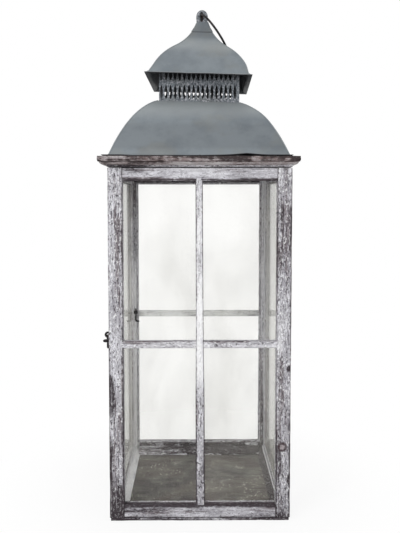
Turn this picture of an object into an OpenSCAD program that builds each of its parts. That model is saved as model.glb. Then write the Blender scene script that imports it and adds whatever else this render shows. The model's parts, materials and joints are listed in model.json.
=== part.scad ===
// Square wooden candle lantern with a glazed door, glazed sides and back, and an ogee zinc roof.
// Millimetres. +Z is up, the door faces -Y, and the origin is the middle of the base's underside.

/* [Body] */
// Width and depth of the wooden body
body_w = 360; // [300:5:420]
// Top of the wooden frames above the ground
frame_top = 705; // [560:5:800]
// Width of the stiles (the upright boards)
stile_w = 29.25; // [24:0.25:36]
// Height of the top rails
top_rail_h = 25; // [20:1:36]
// Top of the bottom rails above the ground
bottom_rail_top = 33; // [26:1:44]
// Thickness of the door and of the back frame
front_t = 20; // [18:0.5:24]
// Thickness of the side frames
side_t = 18; // [16:0.5:22]
// Width of the glazing bars
bar_w = 14.6; // [10:0.2:20]
// Thickness of the glass
glass_t = 3; // [2:0.5:4]

/* [Door] */
// Gap between the closed door and the side frames
door_gap = 0.5; // [0.3:0.1:1]
// Height of the lower hinge
hinge_low = 120; // [80:5:200]
// Height of the upper hinge
hinge_high = 590; // [400:5:640]
// Length of one hinge
hinge_len = 44; // [30:2:60]

/* [Roof] */
// How far the cornice stands out from the body
cornice_out = 16.3; // [12:0.1:20]
// Height of the cornice
cornice_h = 21; // [18:0.5:28]
// Thickness of the zinc sheet
sheet = 1.2; // [0.8:0.1:1.6]
// Height of the dome above the cornice
dome_h = 122; // [100:1:140]
// Outside width of the pierced gallery
gallery_w = 168; // [150:1:180]
// Number of slots in each row of one gallery side
slot_count = 17; // [11:2:21]
// Lean of the hand-made cap to the right, in degrees
cap_lean = 1.6; // [0:0.1:2]
// Outside width of the cap at its eaves
cap_w = 218; // [200:1:230]

/* [Ring] */
// Radius of the carrying ring to the middle of its wire
ring_r = 48; // [40:0.5:52]
// Radius of the ring's wire
ring_wire = 1.9; // [1.5:0.1:2.2]
// Angle of the resting ring from straight down, in degrees
ring_rest = 36.5; // [36.5:0.5:44]

/* [Hidden] */
$fn = 48;
e = 0.01;

half = body_w / 2;
base_t = 5;
floor_t = 1;
base_inset = 2;
side_half = half - front_t;
top_rail_low = frame_top - top_rail_h;
door_low = base_t + 1.5;
door_top = frame_top - 1.5;
door_y = -(half + door_gap);
bead_w = 5;
bead_slack = 0.05;
glass_slack = 0.3;
front_bead_t = front_t - 14 - glass_t;
side_bead_t = side_t - 13 - glass_t;
tenon_l = 12;
tenon_t = 6;
tenon_y = 6;
tenon_slack = 0.1;
shoulder = 4;
bar_t = 14;
lap_l = 4;
lap_t = 6;
bar_z = (bottom_rail_top + top_rail_low) / 2;
bar_chamfer = 1.6;

cornice_z = frame_top;
roof_z = cornice_z + cornice_h;
top_board_t = 12;
vent_half = 70;
flange_half = half + 8.5;
dome_foot = half - 4.6;
dome_z = roof_z + dome_h;
gallery_half = gallery_w / 2;
gallery_low = dome_z - 10;
eave_z = dome_z + 50;
cap_half = cap_w / 2;
spire_z = eave_z + 108;
sleeve_low = eave_z + 103;
sleeve_top = eave_z + 129;
eye_r = 13.5;
eye_t = 6;
eye_z = eave_z + 144.5;
ring_z = eave_z + 146;
ring_x = sin(cap_lean) * (ring_z - eave_z);
ring_world_z = eave_z + cos(cap_lean) * (ring_z - eave_z);

pin_r = 1.1;
knuckle_r = 2.2;
leaf_t = 1;
leaf_w = 18;
hinge_x = half + 0.5;
hinge_y = -(side_half + door_gap / 2);
running = 0.05;

eye_wire = 1.4;
eye_major = 4.4;
hook_wire = 1.3;
hook_gap = 0.3;
hook_loop = eye_wire + hook_wire + hook_gap;
hook_l = 22;
hook_foot = 7;
latch_y = -side_half + 12;
latch_z = 370;
eye_out = 5.4;
inner_x = -(half - side_t) + hook_loop + hook_wire + 0.4;
inner_z = 366;
catch_y = latch_y - hook_l;
catch_z = latch_z - eye_major - hook_wire - eye_wire - 0.4;

wood = "#aeacb4";
dark_wood = "#7d7274";
zinc = "#838d92";
iron = "#242326";

// ---- shared shapes ----

function bezier(a, b, c, d, t) =
  pow(1 - t, 3) * a + 3 * pow(1 - t, 2) * t * b + 3 * (1 - t) * t * t * c + pow(t, 3) * d;

function polar(r, angle) = [r * cos(angle), r * sin(angle)];

// A curve that leaves `a` at angle `a_ang` and reaches `d` at angle `d_ang`
function sweep_curve(a, a_ang, a_len, d, d_ang, d_len, n) =
  [for (i = [0 : n]) bezier(a, a + polar(a_len, a_ang), d - polar(d_len, d_ang), d, i / n)];

function unit(v) = v / norm(v);
function side_step(a, b, t) = let (u = unit(b - a)) [-u[1] * t, u[0] * t];

// The line of points moved sideways by t, to the left of its direction
function offset_line(pts, t) = [for (i = [0 : len(pts) - 1])
  let (before = max(i - 1, 0), after = min(i + 1, len(pts) - 1))
  pts[i] + side_step(pts[before], pts[after], t)];

function reversed(pts) = [for (i = [len(pts) - 1 : -1 : 0]) pts[i]];

// Box from its low corner to its high corner
module block(low, high) {
  translate(low) cube(high - low);
}

// Extrudes a radius-height outline along X, with its radius pointing to +Y
module along_x(length) {
  rotate([90, 0, 90]) linear_extrude(length, center = true) children();
}

// One quarter of a square ring: an outline run along one side and mitred at both corners
module mitred(low, high, reach) {
  intersection() {
    along_x(2 * reach) children();
    translate([0, 0, low]) linear_extrude(high - low)
      polygon([[0, 0], [reach, reach], [-reach, reach]]);
  }
}

module at_back() { children(); }
module at_left() { rotate([0, 0, 90]) children(); }
module at_front() { rotate([0, 0, 180]) children(); }
module at_right() { rotate([0, 0, 270]) children(); }

// ---- framed panels: outer face on the plane y = 0, inner face at y = t ----

// Upright board of a frame on its right side
module stile(open_half, t, rebate, low, high, lap) {
  difference() {
    block([open_half, 0, low], [open_half + stile_w, t, high]);
    block([open_half - e, t - rebate, bottom_rail_top - bead_w],
          [open_half + bead_w, t + e, top_rail_low + bead_w]);
    for (z = [[low, bottom_rail_top], [top_rail_low, high]])
      block([open_half - e, tenon_y - tenon_slack, z[0] + shoulder - tenon_slack],
            [open_half + tenon_l + tenon_slack, tenon_y + tenon_t + tenon_slack,
             z[1] - shoulder + tenon_slack]);
    if (lap)
      block([open_half - e, -e, bar_z - bar_w / 2 - tenon_slack],
            [open_half + lap_l + tenon_slack, lap_t + tenon_slack,
             bar_z + bar_w / 2 + tenon_slack]);
  }
}

// Rail between two stiles, with a tenon at each end
module rail(open_half, t, rebate, low, high, rebate_low, rebate_high, lap) {
  difference() {
    union() {
      block([-open_half, 0, low], [open_half, t, high]);
      block([-open_half - tenon_l, tenon_y, low + shoulder],
            [open_half + tenon_l, tenon_y + tenon_t, high - shoulder]);
    }
    block([-open_half - e, t - rebate, rebate_low], [open_half + e, t + e, rebate_high]);
    if (lap)
      block([-bar_w / 2 - tenon_slack, -e, rebate_low - e],
            [bar_w / 2 + tenon_slack, lap_t + tenon_slack, rebate_high + e]);
  }
}

module top_rail(open_half, t, rebate, high, lap = false) {
  rail(open_half, t, rebate, top_rail_low, high, top_rail_low - e, top_rail_low + bead_w, lap);
}

module bottom_rail(open_half, t, rebate, low, lap = false) {
  rail(open_half, t, rebate, low, bottom_rail_top,
       bottom_rail_top - bead_w, bottom_rail_top + e, lap);
}

module bar_outline() {
  w = bar_w / 2;
  polygon([[-w, bar_t], [-w, bar_chamfer], [-w + bar_chamfer, 0],
           [w - bar_chamfer, 0], [w, bar_chamfer], [w, bar_t]]);
}

// Upright glazing bar, its ends lapped over the rails
module upright_bar() {
  difference() {
    translate([0, 0, bottom_rail_top - lap_l])
      linear_extrude(top_rail_low - bottom_rail_top + 2 * lap_l) bar_outline();
    for (z = [[bottom_rail_top - lap_l - e, bottom_rail_top],
              [top_rail_low, top_rail_low + lap_l + e]])
      block([-bar_w, lap_t, z[0]], [bar_w, bar_t + e, z[1]]);
  }
}

// The two halves of the cross bar, butted on the upright and lapped over the stiles
module cross_bars(open_half) {
  for (side = [0, 1]) mirror([side, 0, 0]) difference() {
    translate([bar_w / 2, 0, bar_z]) rotate([0, 90, 0])
      linear_extrude(open_half + lap_l - bar_w / 2) bar_outline();
    block([open_half, lap_t, bar_z - bar_w], [open_half + lap_l + e, bar_t + e, bar_z + bar_w]);
  }
}

module pane(open_half, y) {
  reach = bead_w - glass_slack;
  block([-open_half - reach, y, bottom_rail_top - reach],
        [open_half + reach, y + glass_t, top_rail_low + reach]);
}

// Four strips that hold a pane in its rebate
module beads(open_half, y, t) {
  low = bottom_rail_top;
  high = top_rail_low;
  for (side = [0, 1]) mirror([side, 0, 0])
    block([open_half, y, low - bead_w + bead_slack],
          [open_half + bead_w - bead_slack, y + t, high + bead_w - bead_slack]);
  for (z = [low - bead_w + bead_slack, high + bead_slack])
    block([-open_half + bead_slack, y, z],
          [open_half - bead_slack, y + t, z + bead_w - 2 * bead_slack]);
}

// ---- where the framed panels stand ----

open_half = half - stile_w;
side_open = side_half - stile_w;
front_rebate = front_t - bar_t;
side_rebate = side_bead_t + glass_t;

module in_door() { translate([0, door_y, 0]) children(); }
module in_back() { rotate([0, 0, 180]) translate([0, -half, 0]) children(); }
module in_left() { rotate([0, 0, -90]) translate([0, -half, 0]) children(); }
module in_right() { rotate([0, 0, 90]) translate([0, -half, 0]) children(); }

module side_stile() {
  stile(side_open, side_t, side_rebate, base_t, frame_top, false);
}

module frame_stile(low, high) {
  stile(open_half, front_t, front_rebate, low, high, true);
}

// Cut for the barrel and one leaf of each hinge
module hinge_cuts(leaf_low_y) {
  for (z = [hinge_low, hinge_high]) {
    translate([hinge_x, hinge_y, z - hinge_len / 2 - 1.4])
      cylinder(h = hinge_len + 3.3, r = knuckle_r + 0.4);
    block([half - leaf_w, leaf_low_y, z - hinge_len / 2 - 0.3],
          [half + e, leaf_low_y + leaf_t, z + hinge_len / 2 + 0.3]);
  }
}

module left_front_stile() {
  color(wood) difference() {
    in_left() side_stile();
    translate([-half - e, latch_y, latch_z]) rotate([0, 90, 0]) cylinder(h = 12, r = eye_wire);
  }
}

module left_back_stile() { color(wood) in_left() mirror([1, 0, 0]) side_stile(); }
module left_top_rail() { color(wood) in_left() top_rail(side_open, side_t, side_rebate, frame_top); }
module left_bottom_rail() { color(wood) in_left() bottom_rail(side_open, side_t, side_rebate, base_t); }

module right_front_stile() {
  color(wood) difference() {
    in_right() mirror([1, 0, 0]) side_stile();
    hinge_cuts(-side_half);
  }
}

module right_back_stile() { color(wood) in_right() side_stile(); }
module right_top_rail() { color(wood) in_right() top_rail(side_open, side_t, side_rebate, frame_top); }
module right_bottom_rail() { color(wood) in_right() bottom_rail(side_open, side_t, side_rebate, base_t); }

module back_left_stile() {
  color(wood) difference() {
    in_back() frame_stile(base_t, frame_top);
    translate([inner_x, side_half - e, inner_z]) rotate([-90, 0, 0]) cylinder(h = 12, r = eye_wire);
  }
}

module back_right_stile() { color(wood) in_back() mirror([1, 0, 0]) frame_stile(base_t, frame_top); }
module back_top_rail() { color(wood) in_back() top_rail(open_half, front_t, front_rebate, frame_top, true); }
module back_bottom_rail() { color(wood) in_back() bottom_rail(open_half, front_t, front_rebate, base_t, true); }
module back_upright_bar() { color(wood) in_back() upright_bar(); }
module back_cross_bars() { color(wood) in_back() cross_bars(open_half); }

module left_glass() { color("#cfdcdc", 0.4) in_left() pane(side_open, side_t - side_rebate); }
module right_glass() { color("#cfdcdc", 0.4) in_right() pane(side_open, side_t - side_rebate); }
module back_glass() { color("#cfdcdc", 0.4) in_back() pane(open_half, bar_t); }

module glazing_beads() {
  color(wood) {
    in_left() beads(side_open, side_t - side_bead_t, side_bead_t);
    in_right() beads(side_open, side_t - side_bead_t, side_bead_t);
    in_back() beads(open_half, bar_t + glass_t, front_bead_t);
  }
}

// ---- base, floor, sill, header and ceiling ----

module base_board() {
  reach = half - base_inset;
  color(dark_wood) block([-reach, -reach, 0], [reach, reach, base_t]);
}

module floor_plate() {
  reach = half - side_t - 0.5;
  color("#6e6e69") block([-reach, -side_half + 0.5, base_t], [reach, side_half - 0.5, base_t + floor_t]);
}

// Sloped fillets that cover the edge of the floor plate along the two sides
module skirting_strips() {
  foot = 11;
  rise = 14.5;
  wall = half - side_t;
  color(wood) for (side = [0, 1]) mirror([side, 0, 0])
    translate([0, side_half - 0.5, base_t + floor_t]) rotate([90, 0, 0])
      linear_extrude(2 * side_half - 13)
        polygon([[wall, 0], [wall, rise], [wall - 1.5, rise], [wall - foot, 2], [wall - foot, 0]]);
}

module front_sill() {
  reach = half - side_t;
  color(wood) block([-reach, -side_half, base_t + floor_t], [reach, -side_half + 12, 26]);
}

module front_header() {
  reach = half - side_t;
  color(wood) block([-reach, -side_half, top_rail_low + 1], [reach, -side_half + 12, frame_top]);
}

module top_board() {
  color(dark_wood) difference() {
    block([-half, -half, frame_top], [half, half, frame_top + top_board_t]);
    block([-vent_half, -vent_half, frame_top - e], [vent_half, vent_half, frame_top + top_board_t + e]);
  }
}

// ---- cornice ----

// Section of the cornice: a flat fillet above a hollow step and a quarter-round
module cornice_outline() {
  fillet_h = 9.8;
  step = 2.6;
  round_w = cornice_out - step - 1.5;
  round_h = cornice_h - fillet_h - 1;
  rounds = [for (i = [0 : 8]) let (a = 90 * i / 8)
    [half + 1.5 + round_w * sin(a), cornice_z + round_h * (1 - cos(a))]];
  polygon(concat(
    [[half, cornice_z]], rounds,
    [[half + cornice_out - step, roof_z - fillet_h],
     [half + cornice_out, roof_z - fillet_h],
     [half + cornice_out, roof_z - 1],
     [half + cornice_out - 1, roof_z],
     [half, roof_z]]));
}

module nail_spots() {
  for (x = [-150, 0, 150]) translate([x, flange_half - 5, 0]) children();
}

module cornice() {
  color(dark_wood) difference() {
    mitred(cornice_z, roof_z, half + cornice_out + 1) cornice_outline();
    nail_spots() translate([0, 0, roof_z - 12]) cylinder(h = 12 + e, r = 0.8);
  }
}

module cornice_front() { at_front() cornice(); }
module cornice_back() { at_back() cornice(); }
module cornice_left() { at_left() cornice(); }
module cornice_right() { at_right() cornice(); }

// ---- zinc dome, in four gores mitred at the hips ----

dome_top = [gallery_half - 0.4, dome_z + 0.5];
dome_curve = sweep_curve([dome_foot, roof_z + sheet], 110, 86, dome_top, 143, 50, 18);

function sheet_outline(outer, t) = concat(outer, reversed(offset_line(outer, t)));

module dome_gore() {
  color(zinc) difference() {
    mitred(roof_z, dome_z + 4, flange_half) {
      difference() {
        polygon(sheet_outline(dome_curve, sheet));
        translate([0, roof_z]) square([gallery_half + 0.05, dome_h + 4]);
      }
      polygon([[dome_foot - sheet - 0.4, roof_z], [flange_half, roof_z],
               [flange_half, roof_z + sheet], [dome_foot - sheet - 0.4, roof_z + sheet]]);
    }
    nail_spots() translate([0, 0, roof_z - e]) cylinder(h = 4, r = 0.8);
  }
}

module roof_front_panel() { at_front() dome_gore(); }
module roof_back_panel() { at_back() dome_gore(); }
module roof_left_panel() { at_left() dome_gore(); }
module roof_right_panel() { at_right() dome_gore(); }

module roof_nails() {
  color(iron) for (turn = [0 : 3]) rotate([0, 0, 90 * turn]) nail_spots() {
    translate([0, 0, roof_z - 11]) cylinder(h = 11 + sheet + e, r = 0.8);
    translate([0, 0, roof_z + sheet]) cylinder(h = 0.9, r1 = 2, r2 = 1.2);
  }
}

// ---- leaning cap ----

module leaned() {
  translate([0, 0, eave_z]) rotate([0, cap_lean, 0]) translate([0, 0, -eave_z]) children();
}

cap_waist = [cap_half - 56, eave_z + 72];
cap_lower = sweep_curve([cap_half - 4.5, eave_z + 2], 118, 30, cap_waist, 148, 44, 14);
cap_upper = sweep_curve(cap_waist, 150, 21, [18.2, spire_z], 116, 25, 12);
cap_curve = concat([[cap_half, eave_z]], cap_lower, [for (i = [1 : len(cap_upper) - 1]) cap_upper[i]]);

// Height of the cap's outer face at a given distance from its axis, along its lower sweep
function cap_height(r) = lookup(-r, [for (p = cap_lower) [-p[0], p[1]]]);

// One gore of the cap, moved in from the outer face by `inset`
module mitred_cap(inset) {
  mitred(eave_z - 2, spire_z + 2, cap_half + 1)
    polygon(sheet_outline(offset_line(cap_curve, inset), sheet));
}

module cap_back_panel() { color(zinc) leaned() at_back() mitred_cap(0); }
module cap_left_panel() { color(zinc) leaned() at_left() mitred_cap(0); }
module cap_front_panel() { color(zinc) leaned() at_front() mitred_cap(0); }
module cap_right_panel() { color(zinc) leaned() at_right() mitred_cap(0); }

// ---- pierced gallery ----

rim_z = cap_height(gallery_half) - 2.4 * sheet;

// Pointed upright slot, the meeting of two circles
module slot(slot_w, slot_h) {
  r = (slot_h * slot_h / 4 + slot_w * slot_w / 4) / slot_w;
  rotate([90, 0, 0]) linear_extrude(4 * sheet, center = true) intersection() {
    translate([r - slot_w / 2, 0]) circle(r = r, $fn = 96);
    translate([slot_w / 2 - r, 0]) circle(r = r, $fn = 96);
  }
}

module gallery_panel(turn) {
  slot_w = 5.2;
  slot_h = 29;
  pitch = (gallery_w - 4) / slot_count;
  low_row = dome_z + 19.5;
  high_row = low_row + slot_h + 8;
  color(zinc) difference() {
    rotate([0, 0, turn]) difference() {
      mitred(gallery_low, eave_z + 60, gallery_half)
        polygon([[gallery_half - sheet, gallery_low], [gallery_half, gallery_low],
                 [gallery_half, eave_z + 60], [gallery_half - sheet, eave_z + 60]]);
      for (row = [low_row, high_row], i = [0 : slot_count - 1])
        translate([(i - (slot_count - 1) / 2) * pitch, gallery_half - sheet / 2, row])
          slot(slot_w, slot_h);
    }
    leaned() {
      block([-cap_half, -cap_half, rim_z], [cap_half, cap_half, eave_z + 80]);
      for (side = [0 : 3]) rotate([0, 0, 90 * side])
        mitred(eave_z, eave_z + 70, cap_half)
          polygon(sheet_outline(offset_line(cap_lower, -0.1), sheet + 0.2));
    }
  }
}

module gallery_back() { gallery_panel(0); }
module gallery_left() { gallery_panel(90); }
module gallery_front() { gallery_panel(180); }
module gallery_right() { gallery_panel(270); }

// Folded strips inside the cap that carry it on the gallery
module gallery_rim() {
  color(zinc) leaned() for (turn = [0 : 3]) rotate([0, 0, 90 * turn])
    intersection() {
      mitred_cap(sheet + 0.05);
      block([-gallery_half, 0, rim_z], [gallery_half, gallery_half, rim_z + 9]);
    }
}

// ---- spire, eye and ring ----

// Four-sided taper from half width a at z = low to half width b at z = high
module taper(a, b, low, high) {
  intersection() {
    at_back() taper_side(a, b, low, high);
    at_left() taper_side(a, b, low, high);
  }
}

module taper_side(a, b, low, high) {
  along_x(4 * a) polygon([[-a, low], [a, low], [b, high], [-b, high]]);
}

module spire_sleeve() {
  foot = 21.6;
  neck = 13.6;
  tang = 10.2;
  color(zinc) leaned() difference() {
    taper(foot, neck, sleeve_low, sleeve_top);
    taper(foot - sheet + 0.6, neck - sheet, sleeve_low - e, sleeve_top - sheet);
    block([-tang, -eye_t / 2 - 0.1, sleeve_top - 2 * sheet],
          [tang, eye_t / 2 + 0.1, sleeve_top + e]);
  }
}

// Flat forged eye: round head, long slot and a tang down into the sleeve
module hanging_eye() {
  slot_half = 3.1;
  slot_low = eye_z - 8.5;
  slot_high = eye_z + 5.5;
  color(iron) leaned() rotate([90, 0, 0]) translate([0, 0, -eye_t / 2]) difference() {
    union() {
      translate([0, eye_z, 0]) cylinder(h = eye_t, r = eye_r);
      translate([-eye_r, sleeve_top, 0]) cube([2 * eye_r, eye_z - sleeve_top, eye_t]);
      translate([-10, sleeve_top - 17, 0]) cube([20, 18, eye_t]);
    }
    for (z = [slot_low, slot_high]) translate([0, z, -e]) cylinder(h = eye_t + 2 * e, r = slot_half);
    translate([-slot_half, slot_low, -e]) cube([2 * slot_half, slot_high - slot_low, eye_t + 2 * e]);
  }
}

module ring_handle() {
  color(iron) translate([ring_x, 0, ring_world_z]) rotate([0, -ring_rest, 0])
    translate([0, 0, -ring_r]) rotate([0, 90, 0])
      rotate_extrude($fn = 96) translate([ring_r, 0]) circle(r = ring_wire, $fn = 20);
}

// ---- hinges ----

// One leaf with its knuckles; `spans` lists the knuckles' low and high ends along the hinge
module leaf(z, leaf_low_y, spans) {
  difference() {
    union() {
      block([half - leaf_w, leaf_low_y, z - hinge_len / 2], [half - 3, leaf_low_y + leaf_t, z + hinge_len / 2]);
      for (span = spans) {
        translate([hinge_x, hinge_y, z + span[0]]) cylinder(h = span[1] - span[0], r = knuckle_r);
        block([half - 3 - e, leaf_low_y, z + span[0]], [hinge_x, leaf_low_y + leaf_t, z + span[1]]);
      }
    }
    translate([hinge_x, hinge_y, z - hinge_len]) cylinder(h = 2 * hinge_len, r = pin_r + running);
  }
}

module hinge_frame_leaves() {
  third = hinge_len / 6;
  color(iron) for (z = [hinge_low, hinge_high])
    leaf(z, -side_half, [[-hinge_len / 2, -third - 0.2], [third + 0.2, hinge_len / 2]]);
}

module hinge_door_leaves() {
  third = hinge_len / 6;
  color(iron) for (z = [hinge_low, hinge_high])
    leaf(z, -side_half - door_gap - leaf_t, [[-third + 0.2, third - 0.2]]);
}

module hinge_pins() {
  color(iron) for (z = [hinge_low, hinge_high]) translate([hinge_x, hinge_y, z]) {
    translate([0, 0, -hinge_len / 2 - 1]) cylinder(h = hinge_len + 2, r = pin_r);
    translate([0, 0, hinge_len / 2 + 0.1]) cylinder(h = 1.4, r = knuckle_r - 0.2);
  }
}

// ---- hook-and-eye catches ----

module wire_ring(major, wire) {
  rotate_extrude($fn = 40) translate([major, 0]) circle(r = wire, $fn = 20);
}

// Screw eye that sticks out along +X from the plane x = 0, with its ring in the XZ plane
module screw_eye() {
  translate([eye_out, 0, 0]) rotate([90, 0, 0]) wire_ring(eye_major, eye_wire);
  translate([-10, 0, 0]) rotate([0, 90, 0]) cylinder(h = 10 + eye_out - eye_major, r = eye_wire - 0.05);
}

// Hook hanging from its loop at the origin, in the YZ plane, with its foot to +Y
module hook() {
  bend = 3;
  rotate([0, 90, 0]) wire_ring(hook_loop, hook_wire);
  translate([0, 0, -hook_l + bend]) cylinder(h = hook_l - bend - hook_loop, r = hook_wire);
  translate([0, bend, -hook_l + bend]) rotate([0, 90, 0])
    rotate([0, 0, 270]) rotate_extrude(angle = 90, $fn = 40)
      translate([bend, 0]) circle(r = hook_wire, $fn = 20);
  translate([0, bend, -hook_l]) rotate([-90, 0, 0]) cylinder(h = hook_foot - bend, r = hook_wire);
  translate([0, hook_foot, -hook_l]) sphere(r = hook_wire, $fn = 20);
}

module screw_eyes() {
  color(iron) {
    translate([-half, latch_y, latch_z]) rotate([0, 0, 180]) screw_eye();
    translate([inner_x, side_half, inner_z]) rotate([0, 0, -90]) screw_eye();
  }
}

module catch_eye() {
  color(iron) translate([-half, catch_y, catch_z]) rotate([0, 0, 180]) rotate([90, 0, 0]) screw_eye();
}

module latch_hook() {
  color(iron) translate([-half - eye_out, latch_y, latch_z - eye_major]) hook();
}

module inner_hook() {
  color(iron) translate([inner_x, side_half - eye_out, inner_z - eye_major])
    rotate([0, 0, -90]) hook();
}

// ---- door ----

module door_left_stile() {
  color(wood) difference() {
    in_door() mirror([1, 0, 0]) frame_stile(door_low, door_top);
    translate([-half - e, catch_y, catch_z]) rotate([0, 90, 0]) cylinder(h = 12, r = eye_wire);
  }
}

module door_right_stile() {
  color(wood) difference() {
    in_door() frame_stile(door_low, door_top);
    hinge_cuts(-side_half - door_gap - leaf_t);
  }
}

module door_top_rail() { color(wood) in_door() top_rail(open_half, front_t, front_rebate, door_top, true); }
module door_bottom_rail() { color(wood) in_door() bottom_rail(open_half, front_t, front_rebate, door_low, true); }
module door_upright_bar() { color(wood) in_door() upright_bar(); }
module door_cross_bars() { color(wood) in_door() cross_bars(open_half); }
module door_glass() { color("#cfdcdc", 0.4) in_door() pane(open_half, bar_t); }
module door_glazing_beads() { color(wood) in_door() beads(open_half, bar_t + glass_t, front_bead_t); }

// ---- drawing ----

base_board();
floor_plate();
skirting_strips();
left_front_stile();
left_back_stile();
left_top_rail();
left_bottom_rail();
right_front_stile();
right_back_stile();
right_top_rail();
right_bottom_rail();
back_left_stile();
back_right_stile();
back_top_rail();
back_bottom_rail();
back_upright_bar();
back_cross_bars();
left_glass();
right_glass();
back_glass();
glazing_beads();
front_header();
front_sill();
top_board();
cornice_front();
cornice_back();
cornice_left();
cornice_right();
roof_front_panel();
roof_back_panel();
roof_left_panel();
roof_right_panel();
gallery_front();
gallery_back();
gallery_left();
gallery_right();
gallery_rim();
cap_front_panel();
cap_back_panel();
cap_left_panel();
cap_right_panel();
spire_sleeve();
hanging_eye();
roof_nails();
hinge_frame_leaves();
hinge_pins();
screw_eyes();
door_left_stile();
door_right_stile();
door_top_rail();
door_bottom_rail();
door_upright_bar();
door_cross_bars();
door_glass();
door_glazing_beads();
hinge_door_leaves();
catch_eye();
latch_hook();
inner_hook();
ring_handle();
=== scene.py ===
import json
import math

import bpy
import numpy as np
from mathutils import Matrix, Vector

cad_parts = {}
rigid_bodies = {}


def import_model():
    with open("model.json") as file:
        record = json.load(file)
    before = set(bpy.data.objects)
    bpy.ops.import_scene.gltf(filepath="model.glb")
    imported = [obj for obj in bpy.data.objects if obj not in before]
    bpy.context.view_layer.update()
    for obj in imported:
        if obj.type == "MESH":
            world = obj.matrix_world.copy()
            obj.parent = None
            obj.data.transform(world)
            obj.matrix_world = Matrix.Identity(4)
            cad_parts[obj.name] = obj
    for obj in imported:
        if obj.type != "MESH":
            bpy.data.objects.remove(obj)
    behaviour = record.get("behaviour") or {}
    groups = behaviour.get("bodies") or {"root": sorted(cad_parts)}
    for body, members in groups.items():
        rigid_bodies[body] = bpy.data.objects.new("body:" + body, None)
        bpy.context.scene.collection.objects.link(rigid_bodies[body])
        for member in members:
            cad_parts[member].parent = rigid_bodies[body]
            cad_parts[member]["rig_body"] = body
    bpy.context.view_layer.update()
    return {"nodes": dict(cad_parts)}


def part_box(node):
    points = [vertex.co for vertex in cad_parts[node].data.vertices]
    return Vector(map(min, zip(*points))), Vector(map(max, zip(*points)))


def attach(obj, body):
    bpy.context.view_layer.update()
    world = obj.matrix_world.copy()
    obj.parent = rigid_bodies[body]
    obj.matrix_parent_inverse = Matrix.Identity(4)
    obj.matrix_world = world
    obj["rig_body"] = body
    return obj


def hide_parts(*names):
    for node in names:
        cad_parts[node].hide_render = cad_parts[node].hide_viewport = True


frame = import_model()
mm = 0.001
nodes = frame["nodes"]
print("lantern frame loaded,", len(nodes), "nodes")


# Sizes that the pieces share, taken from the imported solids

def low(node, axis):
    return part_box(node)[0][axis]


def high(node, axis):
    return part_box(node)[1][axis]


def span(node, axis):
    return high(node, axis) - low(node, axis)


case = {
    "half": high("top_board", 0),  # half the width of the wooden body
    "frameTop": high("back_left_stile", 2),
    "frameLow": low("back_left_stile", 2),
    "doorTop": high("door_left_stile", 2),
    "doorLow": low("door_left_stile", 2),
    "doorFace": -low("door_left_stile", 1),  # the door's outer face
    "frontThick": span("door_left_stile", 1),
    "sideThick": span("left_front_stile", 0),
    "stileWide": span("door_left_stile", 0),
    "topRailLow": low("door_top_rail", 2),
    "bottomRailTop": high("door_bottom_rail", 2),
    "barWide": span("door_upright_bar", 0),
    "barDeep": span("door_upright_bar", 1),
    "barZ": (low("door_cross_bars", 2) + high("door_cross_bars", 2)) / 2 - 0.2 * mm,
    "lap": 4 * mm,  # how far a bar's end lies over the rail or stile
    "bead": 5 * mm,  # width of the rebate that holds the glass
    "glass": 3 * mm,
}
case["sideHalf"] = case["half"] - case["frontThick"]
roofZ = low("roof_front_panel", 2)


# Value noise: whole-number lattice points get a repeatable hashed value, blended smoothly between them

def latticeValue(i, j, k, seed):
    h = (i * 73856093) ^ (j * 19349663) ^ (k * 83492791) ^ (seed * 26544357 + 97)
    h = (h ^ (h >> 13)) * 1274126177 & 0xFFFFFFFF
    h = (h ^ (h >> 16)) * 668265263 & 0xFFFFFFFF
    return ((h >> 8) & 0xFFFF) / 65535.0


def valueNoise(x, y, z, seed):
    x, y, z = np.broadcast_arrays(x, y, z)
    cell = [np.floor(a).astype(np.int64) for a in (x, y, z)]
    part = [a - c for a, c in zip((x, y, z), cell)]
    fx, fy, fz = [p * p * (3 - 2 * p) for p in part]
    total = np.zeros(x.shape)
    for dx in (0, 1):
        for dy in (0, 1):
            for dz in (0, 1):
                weight = (fx if dx else 1 - fx) * (fy if dy else 1 - fy) * (fz if dz else 1 - fz)
                total += weight * latticeValue(cell[0] + dx, cell[1] + dy, cell[2] + dz, seed)
    return total


def layeredNoise(x, y, z, seed, layers=3):
    total, size, weight = 0, 0, 1.0
    for n in range(layers):
        total = total + weight * valueNoise(x * 2 ** n, y * 2 ** n, z * 2 ** n, seed + 31 * n)
        size += weight
        weight *= 0.5
    return total / size


def rise(value, start, end):
    t = np.clip((value - start) / (end - start), 0, 1)
    return t * t * (3 - 2 * t)


# Mesh making

def linked(name, data):
    thing = bpy.data.objects.new(name, data)
    bpy.context.scene.collection.objects.link(thing)
    return thing


def unit(v):
    return v / np.maximum(np.linalg.norm(v, axis=-1, keepdims=True), 1e-12)


def solidOf(points, edge, tint, grain=None, capped=True):
    # quads between the rows of points, each row a closed ring, and one face over each end
    rows, columns = points.shape[:2]
    i, j = np.arange(rows - 1)[:, None], np.arange(columns)[None, :]
    k = (j + 1) % columns
    quads = np.stack([i * columns + j, i * columns + k, (i + 1) * columns + k, (i + 1) * columns + j], -1)
    caps = [np.arange(columns)[None, ::-1], (rows - 1) * columns + np.arange(columns)[None]] if capped else []
    return {"points": points, "faces": [quads.reshape(-1, 4), *caps],
            "grain": points * 1.0 if grain is None else grain,
            "edge": np.broadcast_to(edge, (rows, columns)), "tint": np.broadcast_to(tint, (rows, columns))}


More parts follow.
